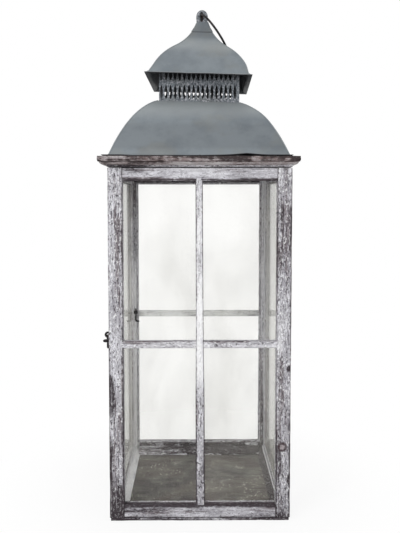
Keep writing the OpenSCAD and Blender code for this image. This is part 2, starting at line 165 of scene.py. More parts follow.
def makePiece(name, solids, material, body="carcass", replaced=()):
    points = np.concatenate([s["points"].reshape(-1, 3) for s in solids])
    faces, start = [], 0
    for s in solids:
        faces += [face + start for face in s["faces"]]
        start += s["edge"].size
    sizes = np.concatenate([np.full(len(f), f.shape[1]) for f in faces])
    loops = np.concatenate([f.ravel() for f in faces])
    mesh = bpy.data.meshes.new(name)
    mesh.vertices.add(len(points))
    mesh.vertices.foreach_set("co", points.astype(np.float32).ravel())
    mesh.loops.add(len(loops))
    mesh.loops.foreach_set("vertex_index", loops.astype(np.int32))
    mesh.polygons.add(len(sizes))
    mesh.polygons.foreach_set("loop_start", np.concatenate([[0], np.cumsum(sizes)[:-1]]).astype(np.int32))
    mesh.update(calc_edges=True)
    for key, kind, field in (("grain", "FLOAT_VECTOR", "vector"), ("edge", "FLOAT", "value"),
                             ("tint", "FLOAT", "value")):
        values = np.concatenate([s[key].ravel() for s in solids])
        mesh.attributes.new(key, kind, "POINT").data.foreach_set(field, values.astype(np.float32))
    mesh.shade_smooth()
    mesh.set_sharp_from_angle(angle=math.radians(50))
    mesh.materials.append(material)
    piece = linked(name, mesh)
    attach(piece, body)
    if replaced:
        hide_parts(*replaced)


def outlineOf(corners, rounding, spacing, soiledAndShaded=()):
    # Section outline, anticlockwise: each corner is a quadratic curve that starts and ends `rounding`
    # away from it, and the straight parts between are cut into lengths of about `spacing`;
    # the last argument lists (x, y, reach, amount) for places where the tint falls by amount, for soil and for
    # painted shade
    corners = np.array(corners, float)
    after = np.roll(corners, -1, axis=0)
    if np.sum(corners[:, 0] * after[:, 1] - after[:, 0] * corners[:, 1]) < 0:
        corners = corners[::-1]
    before, after = np.roll(corners, 1, axis=0), np.roll(corners, -1, axis=0)
    into, out = unit(corners - before), unit(after - corners)
    turn = into[:, 0] * out[:, 1] - into[:, 1] * out[:, 0]
    reach = np.where(turn > 0, rounding, 0.25 * rounding)
    reach = np.minimum(reach, 0.45 * np.minimum(np.linalg.norm(corners - before, axis=1),
                                                np.linalg.norm(after - corners, axis=1)))
    starts, ends = corners - into * reach[:, None], corners + out * reach[:, None]
    t = np.linspace(0, 1, 4)[:, None]
    pieces = []
    for n in range(len(corners)):
        pieces.append((1 - t) ** 2 * starts[n] + 2 * t * (1 - t) * corners[n] + t ** 2 * ends[n])
        following = starts[(n + 1) % len(corners)]
        parts = max(1, round(np.linalg.norm(following - ends[n]) / spacing))
        pieces.append(ends[n] + (following - ends[n]) * np.linspace(0, 1, parts + 1)[1:-1, None])
    points = np.concatenate(pieces)
    along = unit(np.roll(points, -1, axis=0) - np.roll(points, 1, axis=0))
    ridges = corners[turn > 0]
    nearest = np.linalg.norm(points[:, None] - ridges[None], axis=-1).min(1)
    tint = np.zeros(len(points))
    for x, y, reach, amount in soiledAndShaded:
        near = np.hypot(points[:, 0] - x, points[:, 1] - y)
        tint = np.minimum(tint, -amount * np.clip(1.4 - 1.4 * near / reach, 0, 1))
    return {"points": points, "normals": np.stack([along[:, 1], -along[:, 0]], 1),
            "edge": np.clip(1 - nearest / (7 * mm), 0, 1), "tint": tint}


def boardStations(start, end, spacing, rounding):
    # places along a board, closer together at its ends, and how far its rounded ends lie inwards there
    near = rounding * np.array([0, 0.12, 0.45])
    middle = np.linspace(start + rounding, end - rounding, max(2, round((end - start) / spacing)))
    along = np.concatenate([start + near, middle, end - near[::-1]])
    depth = rounding - np.minimum(along - start, end - along)
    return along, np.where(depth > 0, rounding - np.sqrt(np.maximum(rounding ** 2 - depth ** 2, 0)), 0)


def tintAlong(name, along):
    # the tint of a board at these places, straight between the pairs that tints gives for it
    places, values = np.array(tints.get(name, [(0, 0)]), float).T
    return np.interp(along, places * mm, values)


carving = {
    "rounding": 0.8 * mm,  # worn arris of the boards
    "skin": 0.1 * mm,  # how far every face lies inside the solid it stands for
    "ripple": 0.3 * mm,  # hand-planed unevenness
    "wear": 0.8 * mm,  # deepest rubbing along an arris
    "chip": 1.8 * mm,  # deepest dents in an arris
    "mottle": 1.25,  # how far the tint wanders in patches along the grain
}


def board(name, outline, start, end, seed, spacing=4 * mm, wear=1.0, patchy=1.0):
    # The outline carried from start to end; each point lies inwards by the rounded end, by a
    # low ripple and, near an arris, by rubbing and dents. The name finds its tints: above 0 the
    # paint is whiter and thicker, below 0 the wood is bare and soiled; on many boards the tints also paint light and
    # shade
    along, inset = boardStations(start, end, spacing, carving["rounding"])
    p, q = outline["points"].T
    u, edge = along[:, None], outline["edge"][None, :]
    ripple = carving["ripple"] * layeredNoise(u * 14, p * 45, q * 45, seed)
    rub = rise(layeredNoise(u * 38, p * 60, q * 60, seed + 5), 0.38, 0.75) * carving["wear"]
    dents = rise(valueNoise(u * 75, p * 90, q * 90, seed + 9), 0.84, 0.98) * carving["chip"]
    push = carving["skin"] + inset[:, None] + ripple + wear * edge ** 3 * (rub + dents)
    section = outline["points"][None] - outline["normals"][None] * push[..., None]
    points = np.concatenate([section, np.broadcast_to(u[..., None], section[..., :1].shape)], -1)
    grain = np.stack(np.broadcast_arrays(u, p[None], q[None]), -1)
    grain = grain + np.array([0.731, 0.417, 0.293]) * (seed % 97)
    tint = tintAlong(name, along)[:, None] + outline["tint"][None]
    tint = tint + patchy * carving["mottle"] * (layeredNoise(u * 17, p * 95, q * 95, seed + 15, 4) - 0.5)
    return solidOf(points, edge, tint, grain)


def turned(solid, order):
    # the axes taken in another order
    solid["points"] = solid["points"][..., order]
    return solid


def planTurn(degrees):
    # a matrix that turns points about the upright axis
    a = math.radians(degrees)
    return np.array([[math.cos(a), math.sin(a), 0], [-math.sin(a), math.cos(a), 0], [0, 0, 1]])


def rectangle(a, b, c, d):
    # from a to b one way and from c to d the other
    return [(a, c), (b, c), (b, d), (a, d)]


lengthways = [2, 0, 1]  # section in y and z, length along x
frontToBack = [1, 2, 0]  # section in z and x, length along y


# Materials: a Value wraps one socket, and arithmetic on it adds Math nodes

def mathNode(operation, reflected=False):
    def method(self, other):
        first, second = (other, self) if reflected else (self, other)
        return self.bench.add("ShaderNodeMath", {"operation": operation}, {0: first, 1: second})
    return method


class Value:
    def __init__(self, bench, socket):
        self.bench, self.socket = bench, socket

    __add__, __radd__ = mathNode("ADD"), mathNode("ADD", True)
    __sub__, __rsub__ = mathNode("SUBTRACT"), mathNode("SUBTRACT", True)
    __mul__, __rmul__ = mathNode("MULTIPLY"), mathNode("MULTIPLY", True)
    __pow__ = mathNode("POWER")
    greater = mathNode("MAXIMUM")

    def size(self):
        return mathNode("ABSOLUTE")(self, 0)


class Bench:
    def __init__(self, owner):
        # the owner is a material or the world
        owner.use_nodes = True
        self.owner, self.tree = owner, owner.node_tree
        self.tree.nodes.clear()

    def add(self, kind, settings=None, inputs=None, output=0):
        node = self.tree.nodes.new(kind)
        for key, value in (settings or {}).items():
            setattr(node, key, value)
        for key, value in (inputs or {}).items():
            if isinstance(value, Value):
                self.tree.links.new(value.socket, node.inputs[key])
            else:
                node.inputs[key].default_value = value
        return Value(self, node.outputs[output]) if node.outputs else None

    def place(self):
        return self.add("ShaderNodeTexCoord", output="Object")

    def held(self, name, output="Vector"):
        return self.add("ShaderNodeAttribute", {"attribute_name": name}, output=output)

    def parts(self, vector):
        separate = self.add("ShaderNodeSeparateXYZ", {}, {0: vector}).socket.node
        return [Value(self, socket) for socket in separate.outputs]

    def stretched(self, vector, scale):
        scale = scale if isinstance(scale, tuple) else (scale, scale, scale)
        return self.add("ShaderNodeVectorMath", {"operation": "MULTIPLY"}, {0: vector, 1: scale})

    def noise(self, vector, scale, detail=3, roughness=0.55, distortion=0):
        return self.add("ShaderNodeTexNoise", {"normalize": True}, {
            "Vector": self.stretched(vector, scale), "Scale": 1, "Detail": detail,
            "Roughness": roughness, "Distortion": distortion})

    def cells(self, vector, scale):
        return self.add("ShaderNodeTexVoronoi", {}, {"Vector": self.stretched(vector, scale), "Scale": 1})

    def rise(self, value, start, end, low=0.0, high=1.0):
        return self.add("ShaderNodeMapRange", {"interpolation_type": "SMOOTHSTEP"}, {
            "Value": value, "From Min": start, "From Max": end, "To Min": low, "To Max": high})

    def blend(self, factor, first, second):
        first, second = [(*c, 1) if isinstance(c, tuple) else c for c in (first, second)]
        return self.add("ShaderNodeMix", {"data_type": "RGBA"}, {0: factor, 6: first, 7: second}, output=2)

    def layered(self, colour, layers):
        # each layer is (mask, colour), laid over what lies below it
        for mask, over in layers:
            colour = self.blend(mask, colour, over)
        return colour

    def bump(self, height, strength, distance):
        return self.add("ShaderNodeBump", {}, {"Height": height, "Strength": strength, "Distance": distance})

    def rays(self, *kinds):
        # 1 for a ray of any of these kinds
        found = [self.add("ShaderNodeLightPath", output="Is " + kind + " Ray") for kind in kinds]
        for other in found[1:]:
            found[0] = found[0].greater(other)
        return found[0]

    def finish(self, colour, roughness, relief, metallic=0.0, specular=0.5):
        # relief is the height, strength and distance of the bump
        return self.output(self.add("ShaderNodeBsdfPrincipled", {}, {
            "Base Color": colour, "Roughness": roughness, "Normal": self.bump(*relief), "Metallic": metallic,
            "Specular IOR Level": specular}))

    def output(self, surface, kind="Material"):
        self.add("ShaderNodeOutput" + kind, {}, {"Surface": surface})
        return self.owner


def newMaterial(name):
    return Bench(bpy.data.materials.new(name))


def tone(red, green, blue):
    # 0-255 display values turned into the linear values that sockets take
    return tuple(round((c / 255 / 12.92) if c < 10 else ((c / 255 + 0.055) / 1.055) ** 2.4, 4)
                 for c in (red, green, blue))


woodLook = {
    "paint": tone(219, 218, 224),
    "white": tone(246, 246, 247),
    "thin": tone(168, 166, 172),
    "bare": tone(120, 110, 113),
    "soilAndShade": tone(50, 42, 47),
    "mark": tone(60, 54, 61),
    "marks": 0.95,  # strength of the dark marks
    "curl": 0.03,  # width of the curling cracks, and the cloud values between which they fade in
    "curled": (0.4, 0.52),
    "flecks": 0.7,
}


def limedWood(name, look, knot=None):
    # Worn paint: light and thin coats in soft patches, bare bands along the grain, dark grit and
    # curling cracks, and soil where the tint attribute is below zero; because the tints also paint light
    # and shade, the whiter paint above zero is partly painted light, and the soil colour partly painted shade
    b = newMaterial(name)
    grain, edge, tint = b.held("grain"), b.held("edge", "Fac"), b.held("tint", "Fac")
    bands = b.noise(grain, (5, 85, 85), 3)
    clouds = b.noise(grain, (20, 60, 60), 4, 0.6)
    streaks = b.noise(grain, (26, 400, 400), 4, 0.6)
    grit = b.noise(grain, (130, 330, 330), 4, 0.68)
    fine = b.noise(grain, (90, 1300, 1300), 3, 0.6)
    veins = b.noise(grain, (62, 180, 180), 4, 0.62, 0.8)
    # whiter paint where the tint is above zero, which also paints light
    whiter = b.rise(tint, 0, 1)
    thick = b.rise(clouds * 0.45 + streaks * 0.3 + grit * 0.25 + tint * 0.05, 0.42, 0.56)
    coat = b.blend(whiter, look["paint"], look["white"])
    thin = b.blend(whiter * 0.7, look["thin"], look["paint"])
    bare = b.rise(bands * 0.55 + streaks * 0.45 - tint * 0.1, 0.53, 0.61)
    curls = b.rise((veins - 0.5).size(), 0.008, look["curl"], 1, 0) * b.rise(clouds, *look["curled"])
    cracks = b.rise(b.noise(grain, (7, 620, 620), 2), 0.665, 0.71) * b.rise(bands, 0.42, 0.55)
    splits = b.rise(b.noise(grain, (14, 330, 330), 3), 0.6, 0.66)
    marks = b.rise(grit, 0.535, 0.61).greater(curls * 0.85).greater(cracks).greater(splits * 0.9)
    marks = marks * look["marks"] * (1 - whiter * 0.75)
    rubbed = edge ** 4 * b.rise(clouds * 0.5 + grit * 0.5, 0.46, 0.6) * 0.7
    # the soil colour where the tint is below zero, which also paints shade
    soilAndShade = b.rise((grit - 0.5) * 1.5 + (streaks - 0.5) * 1.5 - tint, 0.2, 0.95)
    flecks = b.rise(b.noise(grain, (150, 300, 300), 3, 0.7), 0.55, 0.63)
    layers = [(thick, coat), (bare * 0.85, look["bare"]), (marks, look["mark"]),
              (rubbed * (1 - whiter * 0.6), look["bare"]), (soilAndShade * 0.92, look["soilAndShade"]),
              (flecks * (1 - soilAndShade * 0.7) * look["flecks"], look["white"])]
    height = thick * 0.5 + fine * 0.25 + streaks * 0.5 - marks * 0.45 - soilAndShade * 0.2 + flecks * 0.2
    if knot:
        x, _, z = b.parts(b.place())
        far = ((x - knot["x"]) ** 2 + ((z - knot["z"]) * 0.9) ** 2) ** 0.5
        far = far + (clouds - 0.5) * 0.012 + (grit - 0.5) * 0.006
        ring = b.rise((far - knot["radius"]).size(), 0.0012, 0.003, 1, 0)
        heart = b.rise(far, knot["radius"] * 0.5, knot["radius"] * 0.9, 1, 0)
        layers += [(heart * 0.6, knot["heart"]), (ring * (0.3 + grit), knot["ring"])]
        height = height - ring * 0.6
    return b.finish(b.layered(thin, layers), 0.88 - thick * 0.12, (height, 0.55, 0.9 * mm), specular=0.3)


corniceLook = {
    **woodLook,
    "paint": tone(176, 170, 171),
    "white": tone(206, 204, 204),
    "thin": tone(140, 129, 129),
    "bare": tone(112, 95, 93),
    "soilAndShade": tone(50, 42, 43),
    "mark": tone(66, 55, 56),
    "marks": 0.6,
    "flecks": 0.35,
}

zincLook = {
    "base": tone(116, 124, 130),
    "light": tone(130, 137, 141),
    "dark": tone(98, 105, 111),
    "warm": tone(120, 122, 119),
    "pale": tone(160, 165, 166),
    "grimeAndShade": tone(34, 32, 36),
}


def agedZinc(name, look, speckle=0.0):
    # Tint below zero darkens towards the grime colour, which paints shade under sheets, in gaps and under the cap as
    # well as grime; tint above zero is paler, which paints light; speckle adds small pale and dark spots
    b = newMaterial(name)
    place = b.place()
    tint, edge = b.held("tint", "Fac"), b.held("edge", "Fac")
    clouds = b.noise(place, (10, 10, 13), 4, 0.55)
    patches = b.noise(place, (26, 26, 34), 4, 0.6)
    fine = b.noise(place, 420, 3, 0.6)
    warm = b.noise(place, (14, 14, 18), 3)
    layers = [(b.rise(clouds * 0.55 + patches * 0.45, 0.4, 0.6), look["light"]), (0.55, look["base"]),
              (b.rise(warm, 0.48, 0.66) * 0.5, look["warm"]), (b.rise(fine, 0.6, 0.75) * 0.3, look["dark"]),
              ((edge * 0.3).greater(tint * 0.8), look["pale"])]
    if speckle:
        spots = b.noise(place, 230, 3, 0.65)
        layers += [(b.rise(spots, 0.52, 0.62) * speckle, tone(178, 177, 184)),
                   (b.rise(spots, 0.38, 0.48, 1, 0) * speckle, tone(58, 55, 68))]
    colour = b.layered(look["dark"], layers + [(b.rise(0 - tint, 0, 1), look["grimeAndShade"])])
    rough = 0.48 + clouds * 0.12 + b.rise(fine, 0.45, 0.7) * 0.08
    return b.finish(colour, rough, (clouds * 0.5 + fine * 0.08, 0.25, 1.2 * mm), 0.25)


def floorZinc(name):
    # blotched and streaked sheet with pale scuffs, and crumbs of lime in patches
    b = newMaterial(name)
    place = b.place()
    clouds = b.noise(place, 12, 5, 0.6)
    patch = b.noise(place, 9, 3)
    scuffs = b.noise(place, (240, 45, 60), 3, 0.7)
    crumbs = b.cells(place, 150)
    fine = b.noise(place, 500, 2)
    streaks = b.noise(place, (9, 60, 60), 5, 0.7, 0.5)
    colour = b.layered(tone(79, 75, 73), (
        (b.rise(clouds, 0.38, 0.62), tone(122, 120, 114)),
        (b.rise(patch, 0.46, 0.54) * 0.6, tone(88, 78, 74)),
        (b.rise(streaks, 0.5, 0.62) * 0.45, tone(128, 126, 116)),
        (b.rise(streaks, 0.36, 0.48, 1, 0) * 0.45, tone(62, 59, 58)),
        (b.rise(scuffs, 0.6, 0.7) * 0.7, tone(160, 157, 142)),
        (b.rise(crumbs, 0.16, 0.3, 1, 0) * b.rise(clouds, 0.53, 0.58) * 0.7, tone(224, 222, 210))))
    return b.finish(colour, 0.55 + clouds * 0.25, (clouds * 0.6 + fine * 0.2, 0.35, 1.0 * mm), 0.15)


def blackenedIron(name):
    # dark iron, rubbed a little lighter in patches, with rust and fine pits
    b = newMaterial(name)
    place = b.place()
    rust = b.noise(place, 90, 5, 0.65)
    pits = b.noise(place, 700, 3)
    rubbed = b.noise(place, 45, 3)
    colour = b.layered(tone(32, 30, 32), ((b.rise(rubbed, 0.5, 0.7), tone(58, 56, 59)),
                                          (b.rise(rust, 0.52, 0.66) * 0.7, tone(84, 60, 48))))
    rough = 0.5 + b.rise(rust, 0.5, 0.7) * 0.3
    return b.finish(colour, rough, (pits * 0.5 + rust * 0.5, 0.4, 0.4 * mm), 0.6)


def oldGlass(name, dusty=0.0):
    # clear glass under a thin film of dust, thicker low down; dusty is the film's least amount
    b = newMaterial(name)
    place = b.place()
    smear = b.noise(place, (8, 8, 4), 2, 0.5, 0.3)
    dust = b.noise(place, 160, 3)
    glass = b.add("ShaderNodeBsdfPrincipled", {}, {
        "Base Color": (*tone(254, 254, 253), 1), "Roughness": 0.0, "IOR": 1.2, "Transmission Weight": 1.0,
        "Normal": b.bump(b.noise(place, (9, 9, 6), 1), 0.05, 2 * mm)})
    film = b.add("ShaderNodeBsdfPrincipled", {}, {
        "Base Color": (*tone(160, 158, 150), 1), "Roughness": 0.8})
    low = b.rise(b.parts(place)[2], 0.1, 0.36, 0.02, 0)
    amount = dusty + low + b.rise(smear, 0.4, 0.75) * 0.085 + b.rise(dust, 0.55, 0.75) * 0.02
    coated = b.add("ShaderNodeMixShader", {}, {0: amount, 1: glass, 2: film})
    clear = b.add("ShaderNodeBsdfTransparent", {}, {"Color": (0.93, 0.94, 0.93, 1)})
    return b.output(b.add("ShaderNodeMixShader", {}, {0: b.rays("Shadow"), 1: coated, 2: clear}))


rightStileKnot = {
    "x": case["half"] - 17 * mm,
    "z": 150 * mm,
    "radius": 7 * mm,
    "ring": tone(58, 40, 44),
    "heart": tone(150, 138, 138),
}

wood = limedWood("limedWood", woodLook)
knottyWood = limedWood("knottyLimedWood", {**woodLook, "curl": 0.05, "curled": (0.34, 0.46)}, knot=rightStileKnot)
darkWood = limedWood("corniceWood", corniceLook)
smoothWood = limedWood("smoothLimedWood", {**woodLook, "marks": 0.6, "curl": 0.016, "flecks": 0.45,
                                           "paint": tone(212, 211, 217), "white": tone(236, 236, 239)})
zinc = agedZinc("agedZinc", zincLook)
weatheredZinc = agedZinc("weatheredZinc", zincLook, speckle=0.8)
trayZinc = floorZinc("floorZinc")
iron = blackenedIron("blackenedIron")
pane = oldGlass("oldGlass")
sidePane = oldGlass("sideGlass", 0.24)
print("materials made")


# Framed panels: each is drawn with its outer face on y = 0 and its length of wall along x

wide = {"thick": case["frontThick"], "rebate": 6 * mm, "bars": True, "open": case["half"] - case["stileWide"]}
narrow = {"thick": case["sideThick"], "rebate": 5 * mm, "bars": False, "open": case["sideHalf"] - case["stileWide"]}
fixed = {"body": "carcass", "out": case["half"], "low": case["frameLow"], "top": case["frameTop"]}
panels = {
    "door": {**wide, "body": "door", "out": case["doorFace"], "low": case["doorLow"], "top": case["doorTop"],
             "turn": 0, "seed": 3, "stiles": ("right", "left")},
    "back": {**wide, **fixed, "turn": 180, "seed": 23, "stiles": ("left", "right")},
    "left": {**narrow, **fixed, "turn": -90, "seed": 41, "stiles": ("front", "back")},
    "right": {**narrow, **fixed, "turn": 90, "seed": 61, "stiles": ("back", "front")},
}

# Grime together with painted shade along a board's arrises, where they meet the glass, the joints and the gaps: reach
# and amount at the opening, reach and amount at the outer side
arrisGrimeAndShade = {
    "stile": (3, 0.7, 3, 0.5),
    "rail": (3, 0.7, 3, 0.6),
    "door_left_stile": (3.6, 0.9, 3, 0.7),
    "door_right_stile": (2.3, 0.9, 3.2, 1.3),
    "back_left_stile": (4.5, 1.8, 3, 0.5),
    "back_right_stile": (4.5, 1.6, 3, 0.5),
    "door_top_rail": (9, 1.15, 1.4, 0.1),
    "door_bottom_rail": (6.5, 1.3, 2, 0.7),
}

# How white or soiled the boards are, together with the light and shade painted on many of them: (mm along, tint), or
# one pair where it is even
tints = {
    "door_left_stile": ((6, -1.0), (26, -0.9), (48, -0.4), (110, -0.3), (200, -0.25), (300, -0.1),
                        (430, 0.0), (520, 0.05), (700, 0.05)),
    "door_right_stile": ((6, -0.9), (14, -0.6), (30, -0.35), (150, -0.4), (250, 0.05), (350, 0.28),
                         (420, -0.1), (560, -0.35), (628, -0.25), (650, 0.1), (700, 0.25)),
    "door_top_rail": ((-150, -0.35), (-90, -0.2), (-40, 0.3), (40, 0.4), (80, 0.0), (150, 0.05)),
    "door_bottom_rail": ((-150, -0.5), (-90, -0.45), (-40, -0.1), (60, -0.15), (100, -0.4), (150, -0.55)),
    "door_upright_bar": ((29, -0.25), (110, -0.15), (200, 0.0), (290, 0.75), (340, 1.15), (400, 1.1), (480, 0.65),
                         (684, 0.4)),
    "door_cross_bars": ((-155, 0.3), (-95, 0.35), (-60, 0.1), (-30, 0.25), (0, 0.6), (30, 0.3), (60, 0.2),
                        (155, 0.25)),
    # painted light and shade: the back and left posts lighter low down and darker at the top, and the left wall's
    # bottom rail lighter, where the left wall catches the light
    "back_left_stile": ((33, 2.2), (300, 1.7), (430, 0.9), (560, 0.0), (700, -0.7)),
    "left_back_stile": ((33, 1.8), (300, 1.6), (430, 1.0), (560, 0.1), (700, -0.4)),
    "left_bottom_rail": ((0, 1.2),),
    "right_back_stile": ((33, 0.3), (700, 0.8)),
    "back_right_stile": ((33, -0.8), (200, 0.0), (420, 0.7), (700, 0.9)),
    # painted shade: the top rails and the front header darker under the ceiling
    "back_top_rail": ((0, -1.1),),
    "left_top_rail": ((0, -0.8),),
    "right_top_rail": ((0, -0.8),),
    "front_header": ((0, -1.1),),
    "back_cross_bars": ((0, 0.8),),
    "top_board": ((-180, -0.6), (-60, -0.5), (-30, 0.2), (180, 0.2)),
    # painted shade: the back rail darker, most towards the right
    "back_bottom_rail": ((-150, -0.5), (-20, -0.5), (20, -1.0), (150, -0.8)),
    "base_board": ((-180, -0.9), (-60, -0.75), (60, -0.7), (180, -0.95)),
    # painted shade on the right skirting strip, which faces away from the light, painted light on the left one, which
    # faces it, and painted shade on the back strip towards the right
    "skirting_right": ((0, -1.7),),
    "skirting_left": ((0, 1.0),),
    "skirting_strips": ((-160, -0.35), (-20, -0.5), (20, -1.1), (150, -1.2)),
}

# Dark places on a board: x and z of the middle, half width and half height in mm, and amount
stains = {
    "door_left_stile": ((-178, 252, 11, 52, 0.6), (-178, 120, 5, 70, 0.4), (-158, 40, 9, 34, 0.5),
                        (-162, 170, 6.5, 100, -0.3)),
    "door_right_stile": ((179, 308, 8, 8, 2.2), (179, 86, 6, 14, 1.6), (180, 560, 5, 40, 0.8),
                         (160, 620, 5, 50, 0.5)),
    "back_bottom_rail": ((-75, 24, 18, 12, 0.7), (-38, 26, 11, 9, 2.8), (27, 24, 34, 12, 2.2),
                         (85, 20, 44, 10, 1.5)),
    "skirting_strips": ((-30, 14, 16, 9, 0.9), (40, 12, 40, 9, 1.2), (110, 12, 26, 9, 1.2)),
}


def stained(solid, name):
    x, y, z = np.moveaxis(solid["points"] / mm, -1, 0)
    for middleX, middleZ, wide, tall, amount in stains.get(name, ()):
        rough = 0.6 * (layeredNoise(x / 5, y / 5, z / 9, 7) - 0.5)
        near = np.hypot((x - middleX) / wide, (z - middleZ) / tall) + rough
        solid["tint"] = solid["tint"] - amount * np.clip(2.4 - 2.4 * near, 0, 1)
    return solid


def shadingKeptIndoors(solid, panel, name, along):
    # most tints of a fixed frame's boards paint the light and shade that falls inside the lantern, so its outer faces
    # keep only a tenth of them
    if panel["body"] == "carcass":
        points, skin = solid["points"], 2.5 * mm
        side = (np.abs(points[..., 0]) > panel["open"] + case["stileWide"] - skin) & (along == 2)
        outdoors = (points[..., 1] < skin) | side
        solid["tint"] = solid["tint"] - 0.9 * tintAlong(name, points[..., along]) * outdoors
    return solid


def onWall(solid, panel):
    # moved out to its wall, then turned round the lantern's upright axis
    solid["points"] = (solid["points"] - np.array([0, panel["out"], 0])) @ planTurn(panel["turn"])
    return solid


def stileOutline(panel, side, name):
    # a rectangle with a rebate at its inner back corner for the glass; side is +1 or -1
    inner, outer = panel["open"], panel["open"] + case["stileWide"]
    deep, step, bead = panel["thick"], panel["thick"] - panel["rebate"], case["bead"]
    corners = [(inner, 0), (outer, 0), (outer, deep), (inner + bead, deep), (inner + bead, step), (inner, step)]
    # grime together with painted shade darkens the arrises at the opening and the outer side; painted shade darkens
    # the outer back arris, at the joint with the next frame
    soilAndShade = arrisGrimeAndShade.get(name, arrisGrimeAndShade["stile"])
    return outlineOf([(side * x, y) for x, y in corners], carving["rounding"], 1.9 * mm,
                     [(side * inner, 0, soilAndShade[0] * mm, soilAndShade[1]), (side * outer, 0, soilAndShade[2] * mm, soilAndShade[3]),
                      (side * outer, deep, 5 * mm, 0.9)])


def railOutline(panel, low, high, towards, name):
    # the same section lying down; towards is +1 where the opening lies above the rail, -1 where it lies below
    deep, step = panel["thick"], panel["thick"] - panel["rebate"]
    inner, outer = (high, low) if towards > 0 else (low, high)
    lip = inner - towards * case["bead"]
    inner -= 2.2 * mm if name == "door_top_rail" else 0  # its edge hangs a little over the pane
    soilAndShade = arrisGrimeAndShade.get(name, arrisGrimeAndShade["rail"])
    drop = 4 * mm if towards > 0 and not name.startswith("door") else 0  # outer edge sheds water
    # grime together with painted shade darkens both arrises; on a door rail, painted shade also darkens a band across
    # the inner face where the glazing strip's shadow falls
    dark = [(0, inner, soilAndShade[0] * mm, soilAndShade[1]), (0, outer, soilAndShade[2] * mm, soilAndShade[3])]
    if name.startswith("door"):
        dark.append((7 * mm, inner, 7.5 * mm, 0.8))
    return outlineOf([(0, inner - drop), (0, outer), (deep, outer), (deep, lip), (step, lip), (step, inner)],
                     carving["rounding"], 1.9 * mm, dark)


bar = {
    "chamfer": 1.6 * mm,
    # the door's upright bar: heights with its width there, and heights with its lean there
    "widths": ((0.1, 0.25, 0.36, 0.6), (1.3, 1.24, 1.08, 1.0)),
    "lean": ((0.03, 0.66), (0.9 * mm, -1.6 * mm)),
}


def barOutline(middle, flat):
    # a bar with two chamfered front edges, about the given middle
    half, chamfer, deep = case["barWide"] / 2, bar["chamfer"], case["barDeep"]
    corners = [(-half, deep), (-half, chamfer), (chamfer - half, 0), (half - chamfer, 0), (half, chamfer),
               (half, deep)]
    # painted shade along the bar's sides
    dark = [(half + middle, 3.5 * mm, 3.6 * mm, 1.2), (middle - half, 4 * mm, 3.4 * mm, 0.6)]
    if not flat:
        dark = [(x + middle, 1.2 * mm, 2.6 * mm, 1.7) for x in (-half, half)]
    outline = outlineOf([(x + middle, y) for x, y in corners], 0.5 * mm, 1.6 * mm, dark)
    if flat:  # for a bar along x the section lies in y and z
        outline["points"] = outline["points"][::-1, ::-1]
        outline["normals"] = outline["normals"][::-1, ::-1]
        outline["edge"], outline["tint"] = outline["edge"][::-1], outline["tint"][::-1]
    return outline


def beadStrips(panel, seed):
    # two upright and two level strips that fill the rebate behind the glass
    lip, slack = case["bead"], 0.05 * mm
    inner, low, high = panel["open"], case["bottomRailTop"], case["topRailLow"]
    front, back = panel["thick"] - panel["rebate"] + case["glass"], panel["thick"]
    strips = []
    for n, side in enumerate((1, -1)):
        shape = outlineOf(rectangle(side * inner, side * (inner + lip - slack), front, back), 0.5 * mm, 1.6 * mm)
        strips.append(board("", shape, low - lip + slack, high + lip - slack, seed + n, 6 * mm, 0.3))
    for n, z in enumerate((low - lip + slack, high + slack)):
        shape = outlineOf(rectangle(front, back, z, z + lip - 2 * slack), 0.5 * mm, 1.6 * mm)
        strips.append(turned(board("", shape, slack - inner, inner - slack, seed + 2 + n, 6 * mm, 0.3), lengthways))
    return [onWall(s, panel) for s in strips]


def fitted(piece, name, panel, solids, along, material):
    # boards of one solid, put on their wall; along is the axis of their length
    solids = [stained(onWall(shadingKeptIndoors(solid, panel, name, along), panel), name) for solid in solids]
    makePiece(piece, solids, material, panel["body"], [name])


for label, panel in panels.items():
    reach, seed, isDoor = panel["open"], panel["seed"], label == "door"
    for n, side in enumerate((1, -1)):
        name = label + "_" + panel["stiles"][n] + "_stile"
        stile = board(name, stileOutline(panel, side, name), panel["low"], panel["top"], seed + n)
        fitted(name + "_board", name, panel, [stile], 2, knottyWood if name == "door_right_stile" else wood)
    spans = ((case["topRailLow"], panel["top"], -1), (panel["low"], case["bottomRailTop"], 1))
    for n, (start, end, towards) in enumerate(spans):
        name = label + ("_top_rail", "_bottom_rail")[n]
        rail = board(name, railOutline(panel, start, end, towards, name), -reach, reach, seed + 4 + n,
                     patchy=2.3 if name == "back_bottom_rail" else 1.0)
        fitted(name + "_board", name, panel, [turned(rail, lengthways)], 0, smoothWood if isDoor else wood)
    if panel["bars"]:
        name, lap, near = label + "_upright_bar", case["lap"], case["barWide"] / 2 - 0.3 * mm
        post = board(name, barOutline(0, False), case["bottomRailTop"] - lap, case["topRailLow"] + lap,
                     seed + 7, 3.5 * mm, 0.2)
        x, z = post["points"][..., 0], post["points"][..., 2]
        if isDoor:
            x *= np.interp(z, *bar["widths"])
            x += np.interp(z, *bar["lean"])
        makePiece(name + "_board", [onWall(post, panel)], wood, panel["body"], [name])
        name = label + "_cross_bars"
        arms = [turned(board(name, barOutline(case["barZ"], True), *ends, seed + 9 + n, 3.5 * mm, 0.2), lengthways)
                for n, ends in enumerate(((near, reach + lap), (-reach - lap, -near)))]
        fitted(label + "_cross_bar_boards", name, panel, arms, 0, wood)

makePiece("door_glazing_strips", beadStrips(panels["door"], 11), wood, "door",
          ["door_glazing_beads"])
fixedBeads = [s for n, label in enumerate(("back", "left", "right")) for s in beadStrips(panels[label], 70 + 5 * n)]
makePiece("glazing_strips", fixedBeads, wood, replaced=["glazing_beads"])
print("door, back and side frames made")


# Boards that lie between the frames

